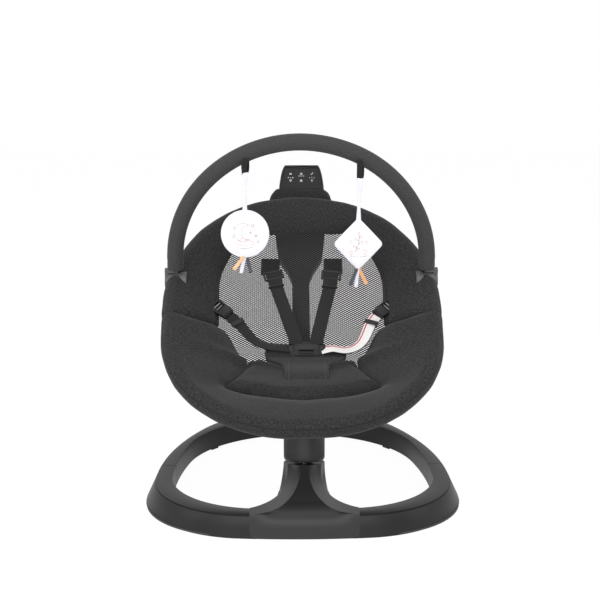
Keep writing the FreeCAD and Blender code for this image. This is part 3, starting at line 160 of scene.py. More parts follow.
# Finer ABS on the pedestal covers: a shade paler and a little smoother, so the flanks glow
cover_abs = moulded("ABS, moulded, fine satin grain", "#1f1f20", "#252525", 0.4, 0.7, 0.03,
                    shine=0.3)
# The same plastic with no finish, on plates that face the floor
plate_abs = moulded("ABS, moulded, plain underside", "#262627", "#2d2d2e", 0.6, 1.4, 0.1)
# Glass-filled nylon of the frame's inner parts: mid grey, dull, faintly mottled
shell_nylon = moulded("Nylon, glass filled, moulded", "#4a4a4b", "#545455", 0.5, 1.1, 0.08)
# Thermoplastic rubber feet: matt, with a skin that takes dust
foot_rubber = moulded("Rubber, moulded", "#161617", "#222223", 0.85, 1.2, 0.1)
# Bright zinc on small screws
zinc = moulded("Steel, zinc plated", "#a9abad", "#c3c4c6", 0.34, 0.5, 0.02, metallic=1.0)
# Ground shaft steel
shaft_steel = moulded("Steel, ground", "#9a9b9d", "#adaeb0", 0.26, 0.4, 0.02, metallic=1.0)
# Enamelled copper wire seen as one winding
copper = moulded("Copper wire, enamelled", "#8a4a26", "#a6602f", 0.3, 0.4, 0.1, metallic=1.0)
# Glass-epoxy board under green solder resist
board = moulded("Circuit board, solder resist", "#1f4a33", "#2a5a3e", 0.4, 0.8, 0.02)
# Acetal bushes: charcoal, waxy
acetal = moulded("Acetal, charcoal, moulded", "#29292a", "#323233", 0.4, 0.9, 0.03)
# Powder coat over steel: an orange-peel skin
powder_coat = moulded("Steel, powder coated", "#2f2f30", "#383839", 0.5, 1.6, 0.12)
# Drawn aluminium tube with its mill finish
mill_tube = moulded("Aluminium tube, drawn", "#9fa1a4", "#b4b6b8", 0.38, 0.6, 0.03, metallic=1.0)
# Acetal buckles: dense black with a soft shine on their edges
buckle_acetal = moulded("Acetal, black, moulded", "#161617", "#1e1e1f", 0.42, 0.6, 0.03,
                        shine=0.25)
# Smooth ABS of the control head: cleaner and shinier than the ring
head_abs = moulded("ABS, moulded, semi-gloss", "#141415", "#19191a", 0.36, 0.6, 0.02,
                   shine=0.22)
# Clear-backed acrylic window: near black and polished
lens_acrylic = moulded("Acrylic, back-printed black", "#1e1e20", "#232325", 0.14, 3.0, 0.01, 1.49)
# Pressed card of a loudspeaker cone
card = moulded("Speaker card, pressed", "#1c1b1a", "#262422", 0.9, 1.0, 0.15)
# Marks printed on the back of the window, pale and flat
mark_ink = moulded("Ink, pale, screen printed", "#b9bac0", "#c6c7cc", 0.5, 0.5, 0.01)
# Melange polyester: short light and dark streaks run across the rolls. Its 0.4 mm yarns are
# drawn three times as wide, which is as fine as still shows
charcoal = woven("Polyester, charcoal melange, woven", "#101011", "#383839", 1.2, 7.0, 0.35)
# The same cloth on small pads, laid by place because their simulated skins have no seams
charcoal_pad = woven("Polyester, charcoal melange, on pads", "#151517", "#363637", 1.3, 1.6,
                     0.3, on_uv=False)
# The same cloth on the seat cushion, whose simulated skin has no seams: streaks run across
charcoal_flat = woven("Polyester, charcoal melange, on the cushion", "#0f0f10", "#2e2e2f", 1.2,
                      1.2, 0.3, on_uv=False, along=6.0)
# The boot round the head's foot: the seat's cloth painted darker, as painted shade for its shadow
boot_cloth_painted_shade = woven("Polyester, charcoal, gathered", "#101011", "#2c2c2d", 1.2, 5.0, 0.4)
# The toy bar's jersey: finer and lighter where it faces up
bar_jersey = woven("Polyester jersey, grey, knitted", "#2f2f30", "#464647", 0.9, 3.5, 0.18)
# Binding tape along the mesh: a tight dark grosgrain
binding_tape = woven("Polyester tape, woven", "#1b1b1c", "#2d2d2e", 0.8, 1.2, 0.2)
# Warp-knitted spacer mesh: dark grey yarn round open cells
mesh_yarn = woven("Polyester spacer mesh, knitted", "#1c1c1d", "#303031", 0.7, 0.9, 0.12,
                  on_uv=False)
# Harness webbing: flat dense polyester with a fine rib
webbing = woven("Polyester webbing, woven", "#1a1a1b", "#2c2c2d", 0.9, 2.4, 0.2)
# Brushed satin on the toys: nearly white with a lilac cast
toy_satin = woven("Polyester satin, brushed", "#eeecf5", "#f7f5fb", 0.8, 1.4, 0.06, 0.8, 0.3,
                  on_uv=False)
ribbon_peach = woven("Satin ribbon, peach", "#e9b98d", "#f2c79d", 0.5, 3.0, 0.05, 0.55, 0.3)
ribbon_orange = woven("Satin ribbon, apricot", "#dd9f6b", "#e8ad7c", 0.5, 3.0, 0.05, 0.55, 0.3)
ribbon_lilac = woven("Satin ribbon, lilac white", "#dcdae4", "#e7e5ee", 0.5, 3.0, 0.05, 0.55, 0.3)
ribbon_slate = woven("Satin ribbon, slate", "#47474f", "#57575f", 0.5, 3.0, 0.05, 0.6, 0.3)
# Lining tape on the back of one waist strap: white, with a woven red line
strap_white = woven("Polyester tape, white, woven", "#dad7d6", "#efedec", 0.8, 2.0, 0.15)
strap_red = woven("Polyester tape, red line", "#b5444c", "#c9575e", 0.8, 2.0, 0.15)
# Thin print lines on the toys
ink_brown = moulded("Ink, soft brown, printed", "#a58f8c", "#b09a96", 0.8, 0.4, 0.01)
ink_blush = moulded("Ink, blush, printed", "#dcb4ae", "#e3c0ba", 0.8, 0.4, 0.01)
ink_grey = moulded("Ink, warm grey, printed", "#8f8b93", "#9d99a0", 0.8, 0.4, 0.01)
stitch_thread = moulded("Sewing thread, grey", "#5e5e60", "#6c6c6e", 0.8, 0.4, 0.05)

# Felted hook-and-loop patches at the shoulders: the darkest cloth, with a short nap
patch_cloth = woven("Hook-and-loop tape, napped", "#141415", "#262627", 1.1, 1.3, 0.5,
                    on_uv=False)
patch_thread = moulded("Sewing thread, black", "#1c1c1d", "#29292a", 0.85, 0.4, 0.05)
# Webbing on short pieces that carry no laid-flat map, such as the strap keepers
webbing_knit = woven("Polyester webbing, woven, on keepers", "#262627", "#3a3a3b", 0.9, 1.4,
                     0.25, on_uv=False)
# The bars of the side clips: the same acetal, painted pale grey as a painted highlight
bar_acetal_painted_highlight = moulded("Acetal, pale, painted highlight", "#6c6c6f", "#7d7d80", 0.3, 0.5, 0.02)
# The toys' piping is one tone greyer than their satin
toy_piping = woven("Polyester satin, piping", "#dddbe6", "#e8e6ef", 0.7, 1.4, 0.08, 0.75, 0.3)

# The finish of each of the model's material slots
FINISHES = {
    "ring_plastic": ring_abs, "cover_plastic": cover_abs, "plate_plastic": plate_abs,
    "foot_rubber": foot_rubber, "zinc_steel": zinc, "steel": shaft_steel,
    "coil_copper": copper, "circuit_board": board, "bush_plastic": acetal,
    "frame_metal": powder_coat, "tube_alloy": mill_tube, "shell_plastic": shell_nylon,
    "panel_plastic": head_abs, "lens_plastic": lens_acrylic, "speaker_card": card,
    "charcoal_fabric": charcoal_pad, "mesh_fabric": mesh_yarn, "webbing": webbing_knit,
    "buckle_plastic": buckle_acetal,
    "toy_fabric": toy_satin, "ribbon": ribbon_slate,
}


def dress_cad_nodes():
    """Give each node of the model the finish of its own material slot."""
    for part in frame["record"]["subparts"]:
        item = cad[part["node"]]
        item.data.materials.clear()
        item.data.materials.append(FINISHES[part["material_slot"]])


dress_cad_nodes()


# ---------------------------------------------------------------- making pieces

def build(name, points, faces, material, slot, body, uvs, sharp):
    """A mesh piece from points in millimetres; uvs are one pair per face corner."""
    data = bpy.data.meshes.new(name)
    data.from_pydata([tuple(float(c) * MM for c in p) for p in points], [], faces)
    if uvs is not None:
        layer = data.uv_layers.new(name="laid")
        layer.data.foreach_set("uv", np.asarray(uvs, float).ravel() * MM)
    form = bmesh.new()
    form.from_mesh(data)
    bmesh.ops.recalc_face_normals(form, faces=form.faces)
    form.to_mesh(data)
    form.free()
    data.materials.append(material)
    data.shade_smooth()
    data.set_sharp_from_angle(angle=math.radians(sharp))
    piece = bpy.data.objects.new(name, data)
    bpy.context.scene.collection.objects.link(piece)
    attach(piece, body)
    return piece


def loft(rows, closed=True, looped=False):
    """Points, faces and laid-flat uvs of a skin through rows of equally many points.

    Closed joins each row's last point to its first, and looped joins the last row to the
    first. A closed skin that isn't looped gets a face at each end.
    """
    rows = np.asarray(rows, float)
    count, wide = rows.shape[:2]
    points = rows.reshape(-1, 3)
    middle = rows.mean(axis=1)
    steps = np.linalg.norm(np.roll(middle, -1, axis=0) - middle, axis=1)
    run = np.concatenate([[0], np.cumsum(steps)])
    # a row's points keep one distance round it all along, as cloth laid flat does
    sides = np.linalg.norm(np.roll(rows, -1, axis=1) - rows, axis=2).mean(axis=0)
    rise = np.concatenate([[0], np.cumsum(sides)])
    faces, uvs = [], []
    for i in range(count if looped else count - 1):
        for j in range(wide if closed else wide - 1):
            over, up = (j + 1) % wide, (i + 1) % count
            faces.append((i * wide + j, i * wide + over, up * wide + over, up * wide + j))
            uvs += [(run[i], rise[j]), (run[i], rise[j + 1]),
                    (run[i + 1], rise[j + 1]), (run[i + 1], rise[j])]
    if closed and not looped:
        for row in (0, count - 1):
            faces.append(tuple(row * wide + j for j in range(wide)))
            uvs += [(run[row], rise[j]) for j in range(wide)]
    return points, faces, uvs


def skin(name, rows, material, slot, body, sharp=60, closed=True, looped=False):
    """A piece whose skin runs through rows of points."""
    points, faces, uvs = loft(rows, closed, looped)
    return build(name, points, faces, material, slot, body, uvs, sharp)


def joined(parts):
    """Several (points, faces) as one; what more a part holds is left out."""
    points, faces = [], []
    for some, sides, *_ in parts:
        base = len(points)
        points += [np.asarray(p, float) for p in some]
        faces += [tuple(base + k for k in f) for f in sides]
    return np.array(points), faces


def unit(vectors):
    """The same directions, each one long."""
    vectors = np.asarray(vectors, float)
    return vectors / np.linalg.norm(vectors, axis=-1, keepdims=True)


def travelled(points):
    """How far along a line each of its points lies."""
    steps = np.linalg.norm(np.diff(np.asarray(points, float), axis=0), axis=1)
    return np.concatenate([[0], np.cumsum(steps)])


def read_off(at, run, values):
    """Values given along a run, read off at other places on it."""
    return np.stack([np.interp(at, run, column) for column in np.asarray(values).T], axis=-1)


def spread(keys, count):
    """One value, or a few even keys, spread over count points."""
    keys = np.atleast_1d(np.asarray(keys, float))
    return np.interp(np.arange(count), np.linspace(0, count - 1, len(keys)), keys)


def through(points, steps):
    """A smooth curve through points, with the given number of steps between each two."""
    p = np.asarray(points, float)
    p = np.vstack([2 * p[0] - p[1], p, 2 * p[-1] - p[-2]])
    out = []
    for i in range(1, len(p) - 2):
        knots = [0.0]
        for a, b in ((i - 1, i), (i, i + 1), (i + 1, i + 2)):
            knots.append(knots[-1] + max(np.linalg.norm(p[b] - p[a]), 1e-6) ** 0.5)
        for t in np.linspace(knots[1], knots[2], steps, endpoint=False):
            line = [p[i - 1], p[i], p[i + 1], p[i + 2]]
            for level in (1, 2, 3):
                line = [((knots[k + level] - t) * line[k] + (t - knots[k]) * line[k + 1])
                        / (knots[k + level] - knots[k]) for k in range(4 - level)]
            out.append(line[0])
    out.append(p[-2])
    return np.array(out)


def spaced(points, count):
    """The same line with evenly spaced points."""
    run = travelled(points)
    return read_off(np.linspace(0, run[-1], count), run, points)


def rounded_box(half_wide, half_thick, corner, steps=4):
    """A rectangle's section with round corners, as (across, up) points."""
    corner = min(corner, half_wide * 0.98, half_thick * 0.98)
    points = []
    for quarter, (x, y) in enumerate(((1, 1), (-1, 1), (-1, -1), (1, -1))):
        for step in range(steps + 1):
            turn = math.radians(90 * (quarter + step / steps))
            points.append((x * (half_wide - corner) + corner * math.cos(turn),
                           y * (half_thick - corner) + corner * math.sin(turn)))
    return points


def cloudy(points, size, depth, seed=0.0):
    """Push points about by a soft random amount, as cloth over padding."""
    moved = np.array(points, float)
    start_at = Vector((seed, seed * 1.7, seed * 0.3))
    for p in moved.reshape(-1, 3):
        p += np.array(noise.noise_vector(Vector(p / size) + start_at)) * depth
    return moved


# ---------------------------------------------------------------- outlines of tangent arcs

def egg(half_width, front, rear, lead, front_radius, corner_radius, side_front, side_rear):
    """Arcs of an egg-shaped outline: (centre x, centre y, radius, from angle, to angle)."""
    front_y = front + front_radius
    side_x = half_width - side_front
    corner_x = side_x + math.sqrt((side_front - corner_radius) ** 2 - lead ** 2)
    corner_y = front_y - math.sqrt((front_radius - corner_radius) ** 2 - corner_x ** 2)
    widest = corner_y + lead
    tail_x = half_width - side_rear
    depth = side_rear - rear
    rear_y = (tail_x ** 2 + widest ** 2 - depth ** 2) / (2 * (depth + widest))
    to_corner = math.degrees(math.atan2(corner_y - front_y, corner_x))
    to_side = -math.degrees(math.atan2(lead, corner_x - side_x))
    to_rear = math.degrees(math.atan2(rear_y - widest, -tail_x))
    return both_sides([
        (0.0, front_y, front_radius, -90.0, to_corner),
        (corner_x, corner_y, corner_radius, to_corner, to_side),
        (side_x, widest, side_front, to_side, 0.0),
        (tail_x, widest, side_rear, 0.0, to_rear),
        (0.0, rear_y, rear - rear_y, to_rear, 90.0),
    ])


def both_sides(right):
    """The right side's arcs, and their mirror images before and after them."""
    left = [(-x, y, r, 180.0 - b, 180.0 - a) for x, y, r, a, b in reversed(right)]
    before = [(x, y, r, a - 360.0, b - 360.0) for x, y, r, a, b in left]
    return before + right + left


def angle_at(arcs, y):
    """The normal angle on the right side where the outline crosses a station y."""
    for arc in (a for a in arcs if a[3] >= -90 and a[4] <= 90):
        ratio = (y - arc[1]) / arc[2]
        if abs(ratio) <= 1:
            angle = math.degrees(math.asin(ratio))
            if arc[3] - 1e-6 <= angle <= arc[4] + 1e-6:
                return angle
    raise ValueError("the outline doesn't reach that station")


def trace(arcs, start, stop, gap):
    """Points (x, y) and outward normals between two normal angles, about a gap apart."""
    rows = []
    for x, y, radius, low, high in arcs:
        low, high = max(low, start), min(high, stop)
        if high - low < 1e-6:
            continue
        count = max(2, round(math.radians(high - low) * radius / gap))
        for angle in np.radians(np.linspace(low, high, count, endpoint=False)):
            c, s = math.cos(angle), math.sin(angle)
            rows.append((x + radius * c, y + radius * s, c, s))
    angle = math.radians(stop)
    arc = next(a for a in arcs if a[3] - 1e-6 <= stop <= a[4] + 1e-6)
    c, s = math.cos(angle), math.sin(angle)
    rows.append((arc[0] + arc[2] * c, arc[1] + arc[2] * s, c, s))
    return np.array(rows)


def even(rows, count):
    """The same outline stretch with evenly spaced points."""
    run = travelled(rows[:, :2])
    out = read_off(np.linspace(0, run[-1], count), run, rows)
    out[:, 2:] = unit(out[:, 2:])
    return out


# ---------------------------------------------------------------- floor ring

# The ring's top and its hole, each as its half width, its front and rear, how far its front
# corner lies before its widest station, and the radii of its arcs from the front to the rear
FRONT_RADIUS = 1080
RING_TOP = egg(266.3, -295.6, 300, 7.2, FRONT_RADIUS, 176.3, 915.8, 620.7)
RING_HOLE = egg(236.8, -263.9, 257, 6.1, 1340.4, 164.7, 513.8, 777.6)
# The front and the rear shell meet at this depth, with a thin gap between them
SEAM, SEAM_GAP = -41.0, 1.3
# Half widths of the flared front's foot and of the pedestal's cover
FOOT_HALF, COVER_HALF = 285.4, 93.4
RING_HEIGHT, RING_WALL = 42.0, 2.4


def skirt_arcs():
    """The flared front's foot, whose tail arc runs in towards the top's line at the seam."""
    right = egg(FOOT_HALF, -302.4, 300, 13.5, 1068.5, 192, 687, 660)[5:8]
    widest = right[2][1]
    angle = angle_at(RING_TOP, SEAM)
    arc = next(a for a in RING_TOP[5:10] if a[3] <= angle <= a[4])
    top_x = arc[0] + arc[2] * math.cos(math.radians(angle))
    run, sink = SEAM - widest, FOOT_HALF - top_x - 6
    tail = (run ** 2 + sink ** 2) / (2 * sink)
    return both_sides(right + [(FOOT_HALF - tail, widest, tail, 0.0, 90.0)])


RING_SKIRT = skirt_arcs()


def ring_section(foot, top, hole, sunk=0.0, low=2.5):
    """One closed section of the ring, from its foot over the top to the inside.

    A shadow gap two millimetres high runs round the outside, just below the top plate.
    Sunk steps the outside back, and low is the height of the foot's edge.
    """
    out = unit(top[:2] - hole[:2])
    high = RING_HEIGHT - sunk * 0.4
    foot = np.array([*(foot[:2] - out * sunk), 0, 0])
    top = np.array([*(top[:2] - out * sunk), 0, 0])

    def on_skirt(z, inset=0.0):
        share = (z - low) / (high - low)
        flat = foot[:2] * (1 - share) + top[:2] * share - out * inset
        return (*flat, z)

    inner = hole[:2]
    section = [on_skirt(low, 1.0), on_skirt(low + 1.0), on_skirt(20.0), on_skirt(high - 3.6),
               on_skirt(high - 3.1, 0.4), on_skirt(high - 2.9, 2.2), on_skirt(high - 1.2, 2.2),
               on_skirt(high - 1.1, 0.5), on_skirt(high - 0.5, 0.15)]
    section += [(*(top[:2] - out * 1.2), high), (*((top[:2] + inner) / 2), high),
                (*(inner + out * 1.8), high), (*(inner + out * 0.6), high - 0.5),
                (*inner, high - 1.8), (*inner, 3.5), (*(inner + out * 1.0), 2.5)]
    return section


def fold_share(x):
    """How fully the cover's fold is rounded at x across: not at its ends, wholly in its middle."""
    from_end, run_in = 12, 30
    inner = np.clip((COVER_HALF - from_end - np.abs(x)) / run_in, 0, 1)
    return inner * inner * (3 - 2 * inner)


def make_ring_inside(front_lines, rear_lines):
    """What the ring's shells hold: the rear's bottom plate, two splices and eight screws."""
    rows = []
    for _, top, hole in zip(*rear_lines):
        out = unit(top[:2] - hole[:2])
        near, far = hole[:2] + out * RING_WALL, top[:2] - out * RING_WALL
        rows.append([(*near, 1.9), (*far, 1.9), (*far, 4.9), (*near, 4.9)])
    plate = skin("bottom_plate_rear", rows, plate_abs, "plate_plastic", "base", 30)
    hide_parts("base_bottom_rear")
    rights = [even(trace(arcs, angle_at(arcs, SEAM - 16), angle_at(arcs, SEAM + 16), 4.0), 17)
              for arcs in (RING_TOP, RING_HOLE)]
    low, high = 5.3, RING_HEIGHT - 2.2
    for name, way in (("ring_splice_right", 1), ("ring_splice_left", -1)):
        rows = []
        for top, hole in zip(*rights):
            out = unit(top[:2] - hole[:2])
            near, far = hole[:2] + out * 2.0, top[:2] - out * 3.2
            rows.append([(p[0] * way, p[1], z) for p, z in (
                (near, low), (far, low), (far, high), (near, high))])
        splice = skin(name, rows, ring_abs, "ring_plastic", "base", 30)
        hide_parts("ring_splices")
    turns = np.radians(np.arange(0, 360, 20))
    screws = []
    for lines, stations in ((front_lines, (40, 96, 144, 200)), (rear_lines, (14, 64, 116, 166))):
        for i in stations:
            x, y = (lines[0][i][:2] + lines[2][i][:2]) / 2
            # a low head with an eased rim, then the shank
            screws.append(loft([[(x + math.cos(t) * wide, y + math.sin(t) * wide, z)
                                 for t in turns] for wide, z in (
                (3.2, 1.5), (3.6, 1.8), (3.6, 3.4), (1.6, 3.6), (1.6, 13.9))]))
    screws = build("ring_screws", *joined(screws), zinc, "zinc_steel", "base", None, 40)
    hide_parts("base_screws")


def make_soles(front_lines, rear_lines):
    """Six rubber soles: two behind, near the ring's inner edge, and four under the front."""
    behind = int(np.argmin(np.abs(rear_lines[2][:90, 0] - 172)))
    soles = []
    for lines, centre, reach in ((rear_lines, behind, 2), (rear_lines, 180 - behind, 2),
                                 (front_lines, 24, 3), (front_lines, 78, 3),
                                 (front_lines, 162, 3), (front_lines, 216, 3)):
        rows = []
        for k in range(centre - reach, centre + reach + 1):
            outer, inner = lines[0][k][:2], lines[2][k][:2]
            out = unit(outer - inner)
            middle = inner + out * 8.4 if lines is rear_lines else (outer + inner) / 2
            rows.append([(*(middle + out * aside), z) for aside, z in (
                (-8, 2.6), (-8, 0.5), (-7.4, 0), (7.4, 0), (8, 0.5), (8, 2.6))])
        soles.append(loft(rows))
    soles = build("foot_pads", *joined(soles), foot_rubber, "foot_rubber", "base", None, 40)
    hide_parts("feet")


def make_ring():
    """The ring's front and rear shells, what they hold and its soles."""
    spans = [(arcs, angle_at(arcs, SEAM)) for arcs in (RING_SKIRT, RING_TOP, RING_HOLE)]
    front_lines = [even(trace(arcs, -180 - a, a, 4.0), 241) for arcs, a in spans]
    rows = []
    for foot, top, hole in zip(*front_lines):
        # the ring steps back behind the rounded fold of the pedestal's cover
        covered = fold_share(top[0]) * (top[1] < -200)
        rows.append(ring_section(foot, top, hole, 12.0 * covered, 0.8))
    front = skin("ring_front", rows, ring_abs, "ring_plastic", "base", 40)
    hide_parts("base_ring_front")
    spans = [(arcs, angle_at(arcs, SEAM + SEAM_GAP)) for arcs in (RING_TOP, RING_TOP, RING_HOLE)]
    rear_lines = [even(trace(arcs, a, 180 - a, 4.0), 181) for arcs, a in spans]
    rows = [ring_section(*stations) for stations in zip(*rear_lines)]
    rear = skin("ring_rear", rows, ring_abs, "ring_plastic", "base", 40)
    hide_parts("base_ring_rear")
    make_ring_inside(front_lines, rear_lines)
    make_soles(front_lines, rear_lines)


make_ring()


# ---------------------------------------------------------------- pedestal

# The neck's place, its radius and the degrees by which it leans back
NECK_Y, NECK_Z, NECK_RADIUS, LEAN = 173.0, 95.5, 36.2, 10.0
# The neck stands a little to the right, and the cover ends just below it
NECK_ASIDE, NECK_GAP = 1.4, 1.5
# The height of the apron's lower edge and the radius of its corners
APRON_FOOT, APRON_CORNER = 1.8, 11
# The heights between which the fold over the ring is rounded
FOLD_HEIGHTS = 55, 27
# Points across the cover's face, and the one in its middle
FACE_POINTS, FACE_MIDDLE = 25, 12


def bell(share, power):
    """1 at the foot (share 0) and 0 at the neck (share 1), like the bell of a trumpet."""
    return 1 - (1 - (1 - share) ** power) ** (1 / power)


def bow(x):
    """How far back the front face lies at x across: it keeps to the arc of the ring's front."""
    return x ** 2 / (2 * FRONT_RADIUS)


def cover_height(share, y):
    """The height of a section at a depth y: sections lean with the neck as they rise."""
    level = RING_HEIGHT + (NECK_Z - NECK_GAP - RING_HEIGHT) * share
    return level - (y + NECK_Y) * math.tan(math.radians(LEAN * share))


def pedestal_marks(share):
    """The right side's corner points of one section, from the middle of the front to the rear.

    At the neck each lies at a share of its radius, and a bell curve takes it out to the foot.
    """
    neck, radius, half = -NECK_Y, NECK_RADIUS, COVER_HALF
    neck_front = neck - radius
    rear = neck + radius + (-132 - neck - radius) * bell(share, 2)
    crease_x = radius * 0.2 + (half - radius * 0.2) * bell(share, 2.6)
    flare = 0.55 * (1 - share) + 0.45 * bell(share, 1.7)
    crease_y = neck_front + (-295.8 - neck_front) * flare
    side = np.array([radius * 0.82 + (half - radius * 0.82) * bell(share, 3.7),
                     neck - radius * 0.57 + (-260 - neck + radius * 0.57) * bell(share, 3)])
    waist = np.array([radius + radius * 0.26 * bell(share, 1.7),
                      neck + radius * 0.1 - 18 * bell(share, 2.5)])
    crease = np.array([crease_x, crease_y + bow(crease_x)])
    outer = (crease + side) * 0.5 + np.array([0.05, -0.05]) * radius * share ** 2
    hollow = side * 0.31 + waist * 0.69 + np.array([-0.03 * (1 - share), 0.02]) * radius
    # near the foot the flank keeps to the ring's inner edge, then sweeps in round the neck
    hollow[1] += (side[1] - hollow[1]) * 0.72 * (1 - share) ** 3
    waist[1] += (side[1] - waist[1]) * 0.30 * (1 - share) ** 3
    rear_mid = np.array([waist[0] * 0.65, waist[1] + (rear - waist[1]) * 0.74])
    return [np.array([*p, cover_height(share, p[1])]) for p in (
        (0, crease_y), crease, outer, side, hollow, waist, rear_mid, (0, rear))]


def bowed(a, b, c, count):
    """Points on the parabola through three points, from the first to the last."""
    share = np.linalg.norm(b - a) / (np.linalg.norm(b - a) + np.linalg.norm(c - b))
    t = np.linspace(0, 1, count)[:, None]
    return (a * (t - share) * (t - 1) / share + b * t * (t - 1) / (share * (share - 1))
            + c * t * (t - share) / (1 - share))


def rounded_fold(face):
    """Round the fold where the cover's face turns down into its apron."""
    z = np.array([line[FACE_MIDDLE][2] for line in face])
    high, low = (int(np.argmin(np.abs(z - height))) for height in FOLD_HEIGHTS)
    at_ring = int(np.argmin(np.abs(z - RING_HEIGHT)))
    start, fold, stop = (face[i][FACE_MIDDLE][1] for i in (high, at_ring, low))
    out = list(face)
    for i in range(high, low + 1):
        t = (z[high] - z[i]) / (z[high] - z[low])
        y = (1 - t) ** 2 * start + 2 * t * (1 - t) * fold + t * t * stop
        line = face[i].copy()
        line[:, 1] += (y - face[i][FACE_MIDDLE][1]) * fold_share(face[i][:, 0])
        out[i] = line
    return out


def apron_row(z):
    """A row of the cover's face below the ring's top, where its lower corners are round."""
    corner = max(0.0, 1 - (z - APRON_FOOT) / APRON_CORNER)
    half = COVER_HALF - APRON_CORNER * (1 - math.sqrt(1 - corner ** 2))
    x = np.linspace(-1, 1, FACE_POINTS) * half
    share = (z - 2.5) / (RING_HEIGHT - 2.5)
    return np.stack([x, bow(x) - 296.2 - 6.8 * (1 - share), np.full(FACE_POINTS, float(z))], axis=1)


def make_pedestal():
    """A front fin that widens into an apron, hollow flanks and a round back."""
    face, flank = [], []
    for share in np.linspace(1, 0, 46) ** 2.4:
        front, crease, outer, side, hollow, waist, rear_mid, rear = pedestal_marks(share)
        aside = np.array([NECK_ASIDE * share, 0, 0])
        x = np.linspace(-1, 1, FACE_POINTS) * crease[0]
        y = front[1] + bow(x)
        face.append(np.stack([x, y, cover_height(share, y)], axis=1) + aside)
        right = np.vstack([bowed(crease, outer, side, 9)[:-1], bowed(side, hollow, waist, 11)[:-1],
                           bowed(waist, rear_mid, rear, 9)])
        left = right[::-1][1:] * np.array([-1, 1, 1])
        flank.append(np.vstack([right, left]) + aside)
    face += [apron_row(z) for z in (38, 33, 27, 21, 16, 12, 9, 6.5, 4.5, 3, APRON_FOOT)]
    # the apron's edges turn back a little, so that the cover reads as a moulded shell
    back = np.array([0, 3.0, 0])
    rows = [np.vstack([line[0] + back, line, line[-1] + back]) for line in rounded_fold(face)]
    front = skin("pedestal_front", rows, cover_abs, "cover_plastic", "base", 32, closed=False)
    neck_middle = np.array([NECK_ASIDE, -NECK_Y, 0])

    def drawn_in(row, share, drop):
        return neck_middle + (row - neck_middle) * [share, share, 1] - [0, 0, drop]

    # a lip closes the top, and behind the ring's edge the covers run down to the bottom plate
    lips = [drawn_in(flank[0], *to) for to in ((0.44, 3.0), (0.9, 2.6), (0.955, 0.6))]
    walls = [drawn_in(flank[-1], *to) for to in ((1.0, 1.5), (0.985, 14.0), (0.97, 27.0),
                                                 (0.96, RING_HEIGHT - 5.2))]
    points, faces, uvs = loft(lips + flank + walls, closed=False)
    middle = np.array([[points[i][1] for i in f] for f in faces]).mean(axis=1)
    for name, wanted, node in (("pedestal_flanks", middle < -NECK_Y, "pedestal_front_cover"),
                               ("pedestal_back", middle >= -NECK_Y, "pedestal_rear_cover")):
        kept = [i for i in range(len(faces)) if wanted[i]]
        used = sorted({v for i in kept for v in faces[i]})
        place = {v: k for k, v in enumerate(used)}
        piece = build(name, points[used], [tuple(place[v] for v in faces[i]) for i in kept],
                      cover_abs, "cover_plastic", "base",
                      [uvs[4 * i + k] for i in kept for k in range(4)], 32)
        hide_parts(node)
    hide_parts("pedestal_front_cover")


def make_sleeve():
    """The sleeve that turns on the neck: its lower edge is eased, with a thin gap under it."""
    lean = math.radians(LEAN)
    axis = np.array([0, math.sin(lean), math.cos(lean)])
    rear = np.array([0, math.cos(lean), -math.sin(lean)])
    foot = np.array([NECK_ASIDE, -NECK_Y, NECK_Z])
    turns = np.radians(np.arange(0, 360, 5))[:, None]
    # the sleeve is a little narrower from front to rear
    circle = np.array([1.0, 0, 0]) * np.cos(turns) + rear * np.sin(turns) * 0.95
    rows = [foot + axis * along + circle * (NECK_RADIUS - inset) for along, inset in (
        (5.0, 4.2), (2.6, 3.6), (2.2, 3.0), (2.4, 2.2), (4.0, 1.2), (6.4, 0.4), (8.6, 0.0),
        (20.0, 0.0), (36.0, 0.0), (52.6, 0.0), (53.6, 0.4), (54.0, 1.4))]
    piece = skin("neck_sleeve", rows, cover_abs, "cover_plastic", "carrier", 40)
    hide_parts("upper_sleeve")


make_pedestal()
make_sleeve()


# ---------------------------------------------------------------- the seat's lines

# The rim's plane and the backrest lean back by these angles; along goes up the rim towards the
# head and above stands square on it, and the backrest has the same two directions of its own
TILT = math.radians(29.2)
BACK = math.radians(44.0)
ALONG = np.array([0.0, math.cos(TILT), math.sin(TILT)])
ABOVE = np.array([0.0, -math.sin(TILT), math.cos(TILT)])
UP_BACK = np.array([0.0, math.cos(BACK), math.sin(BACK)])
TOWARD = np.array([0.0, -math.sin(BACK), math.cos(BACK)])
RIM_HEIGHT, BACK_FOOT = 341.5, (-20.0, 224.0)
# The rolls' radius, that of the tubes in them, and the degrees round a roll where the padding
# comes off it
ROLL, TUBE_RADIUS, PAD_MEETS = 18.5, 8.0, 104
PAD_DEPTH = 14.0
# The rim's middle line in its own plane, as the ring's outlines are given
RIM = egg(238.9, -313.4, 291.5, 96.6, 742, 217, 1608, 362)


def on_rim(x, s):
    """The point of the rim's plane at x across and s along it."""
    return np.array([x, 0.0, RIM_HEIGHT]) + ALONG * s


def on_back(x, d, height=0.0):
    """The point of the backrest's plane at x across and d up it, raised towards the child."""
    return np.array([x, *BACK_FOOT]) + UP_BACK * d + TOWARD * height


def rim_stations(start, stop, gap=6.0):
    """Points on the rim's middle line, their outward directions and the run between them."""
    rows = trace(RIM, start, stop, gap / 2)
    rows = even(rows, int(travelled(rows[:, :2])[-1] / gap) + 1)
    points = np.array([on_rim(x, s) for x, s, _, _ in rows])
    outward = np.array([np.array([across, 0, 0]) + ALONG * along for _, _, across, along in rows])
    return rows, points, outward, travelled(rows[:, :2])


def roll_point(middle, out, degrees, radius=ROLL):
    """A point of the round roll about the rim's middle line; 90 degrees is its top."""
    turn = np.radians(degrees)
    return middle + (out * np.cos(turn) + ABOVE * np.sin(turn)) * radius


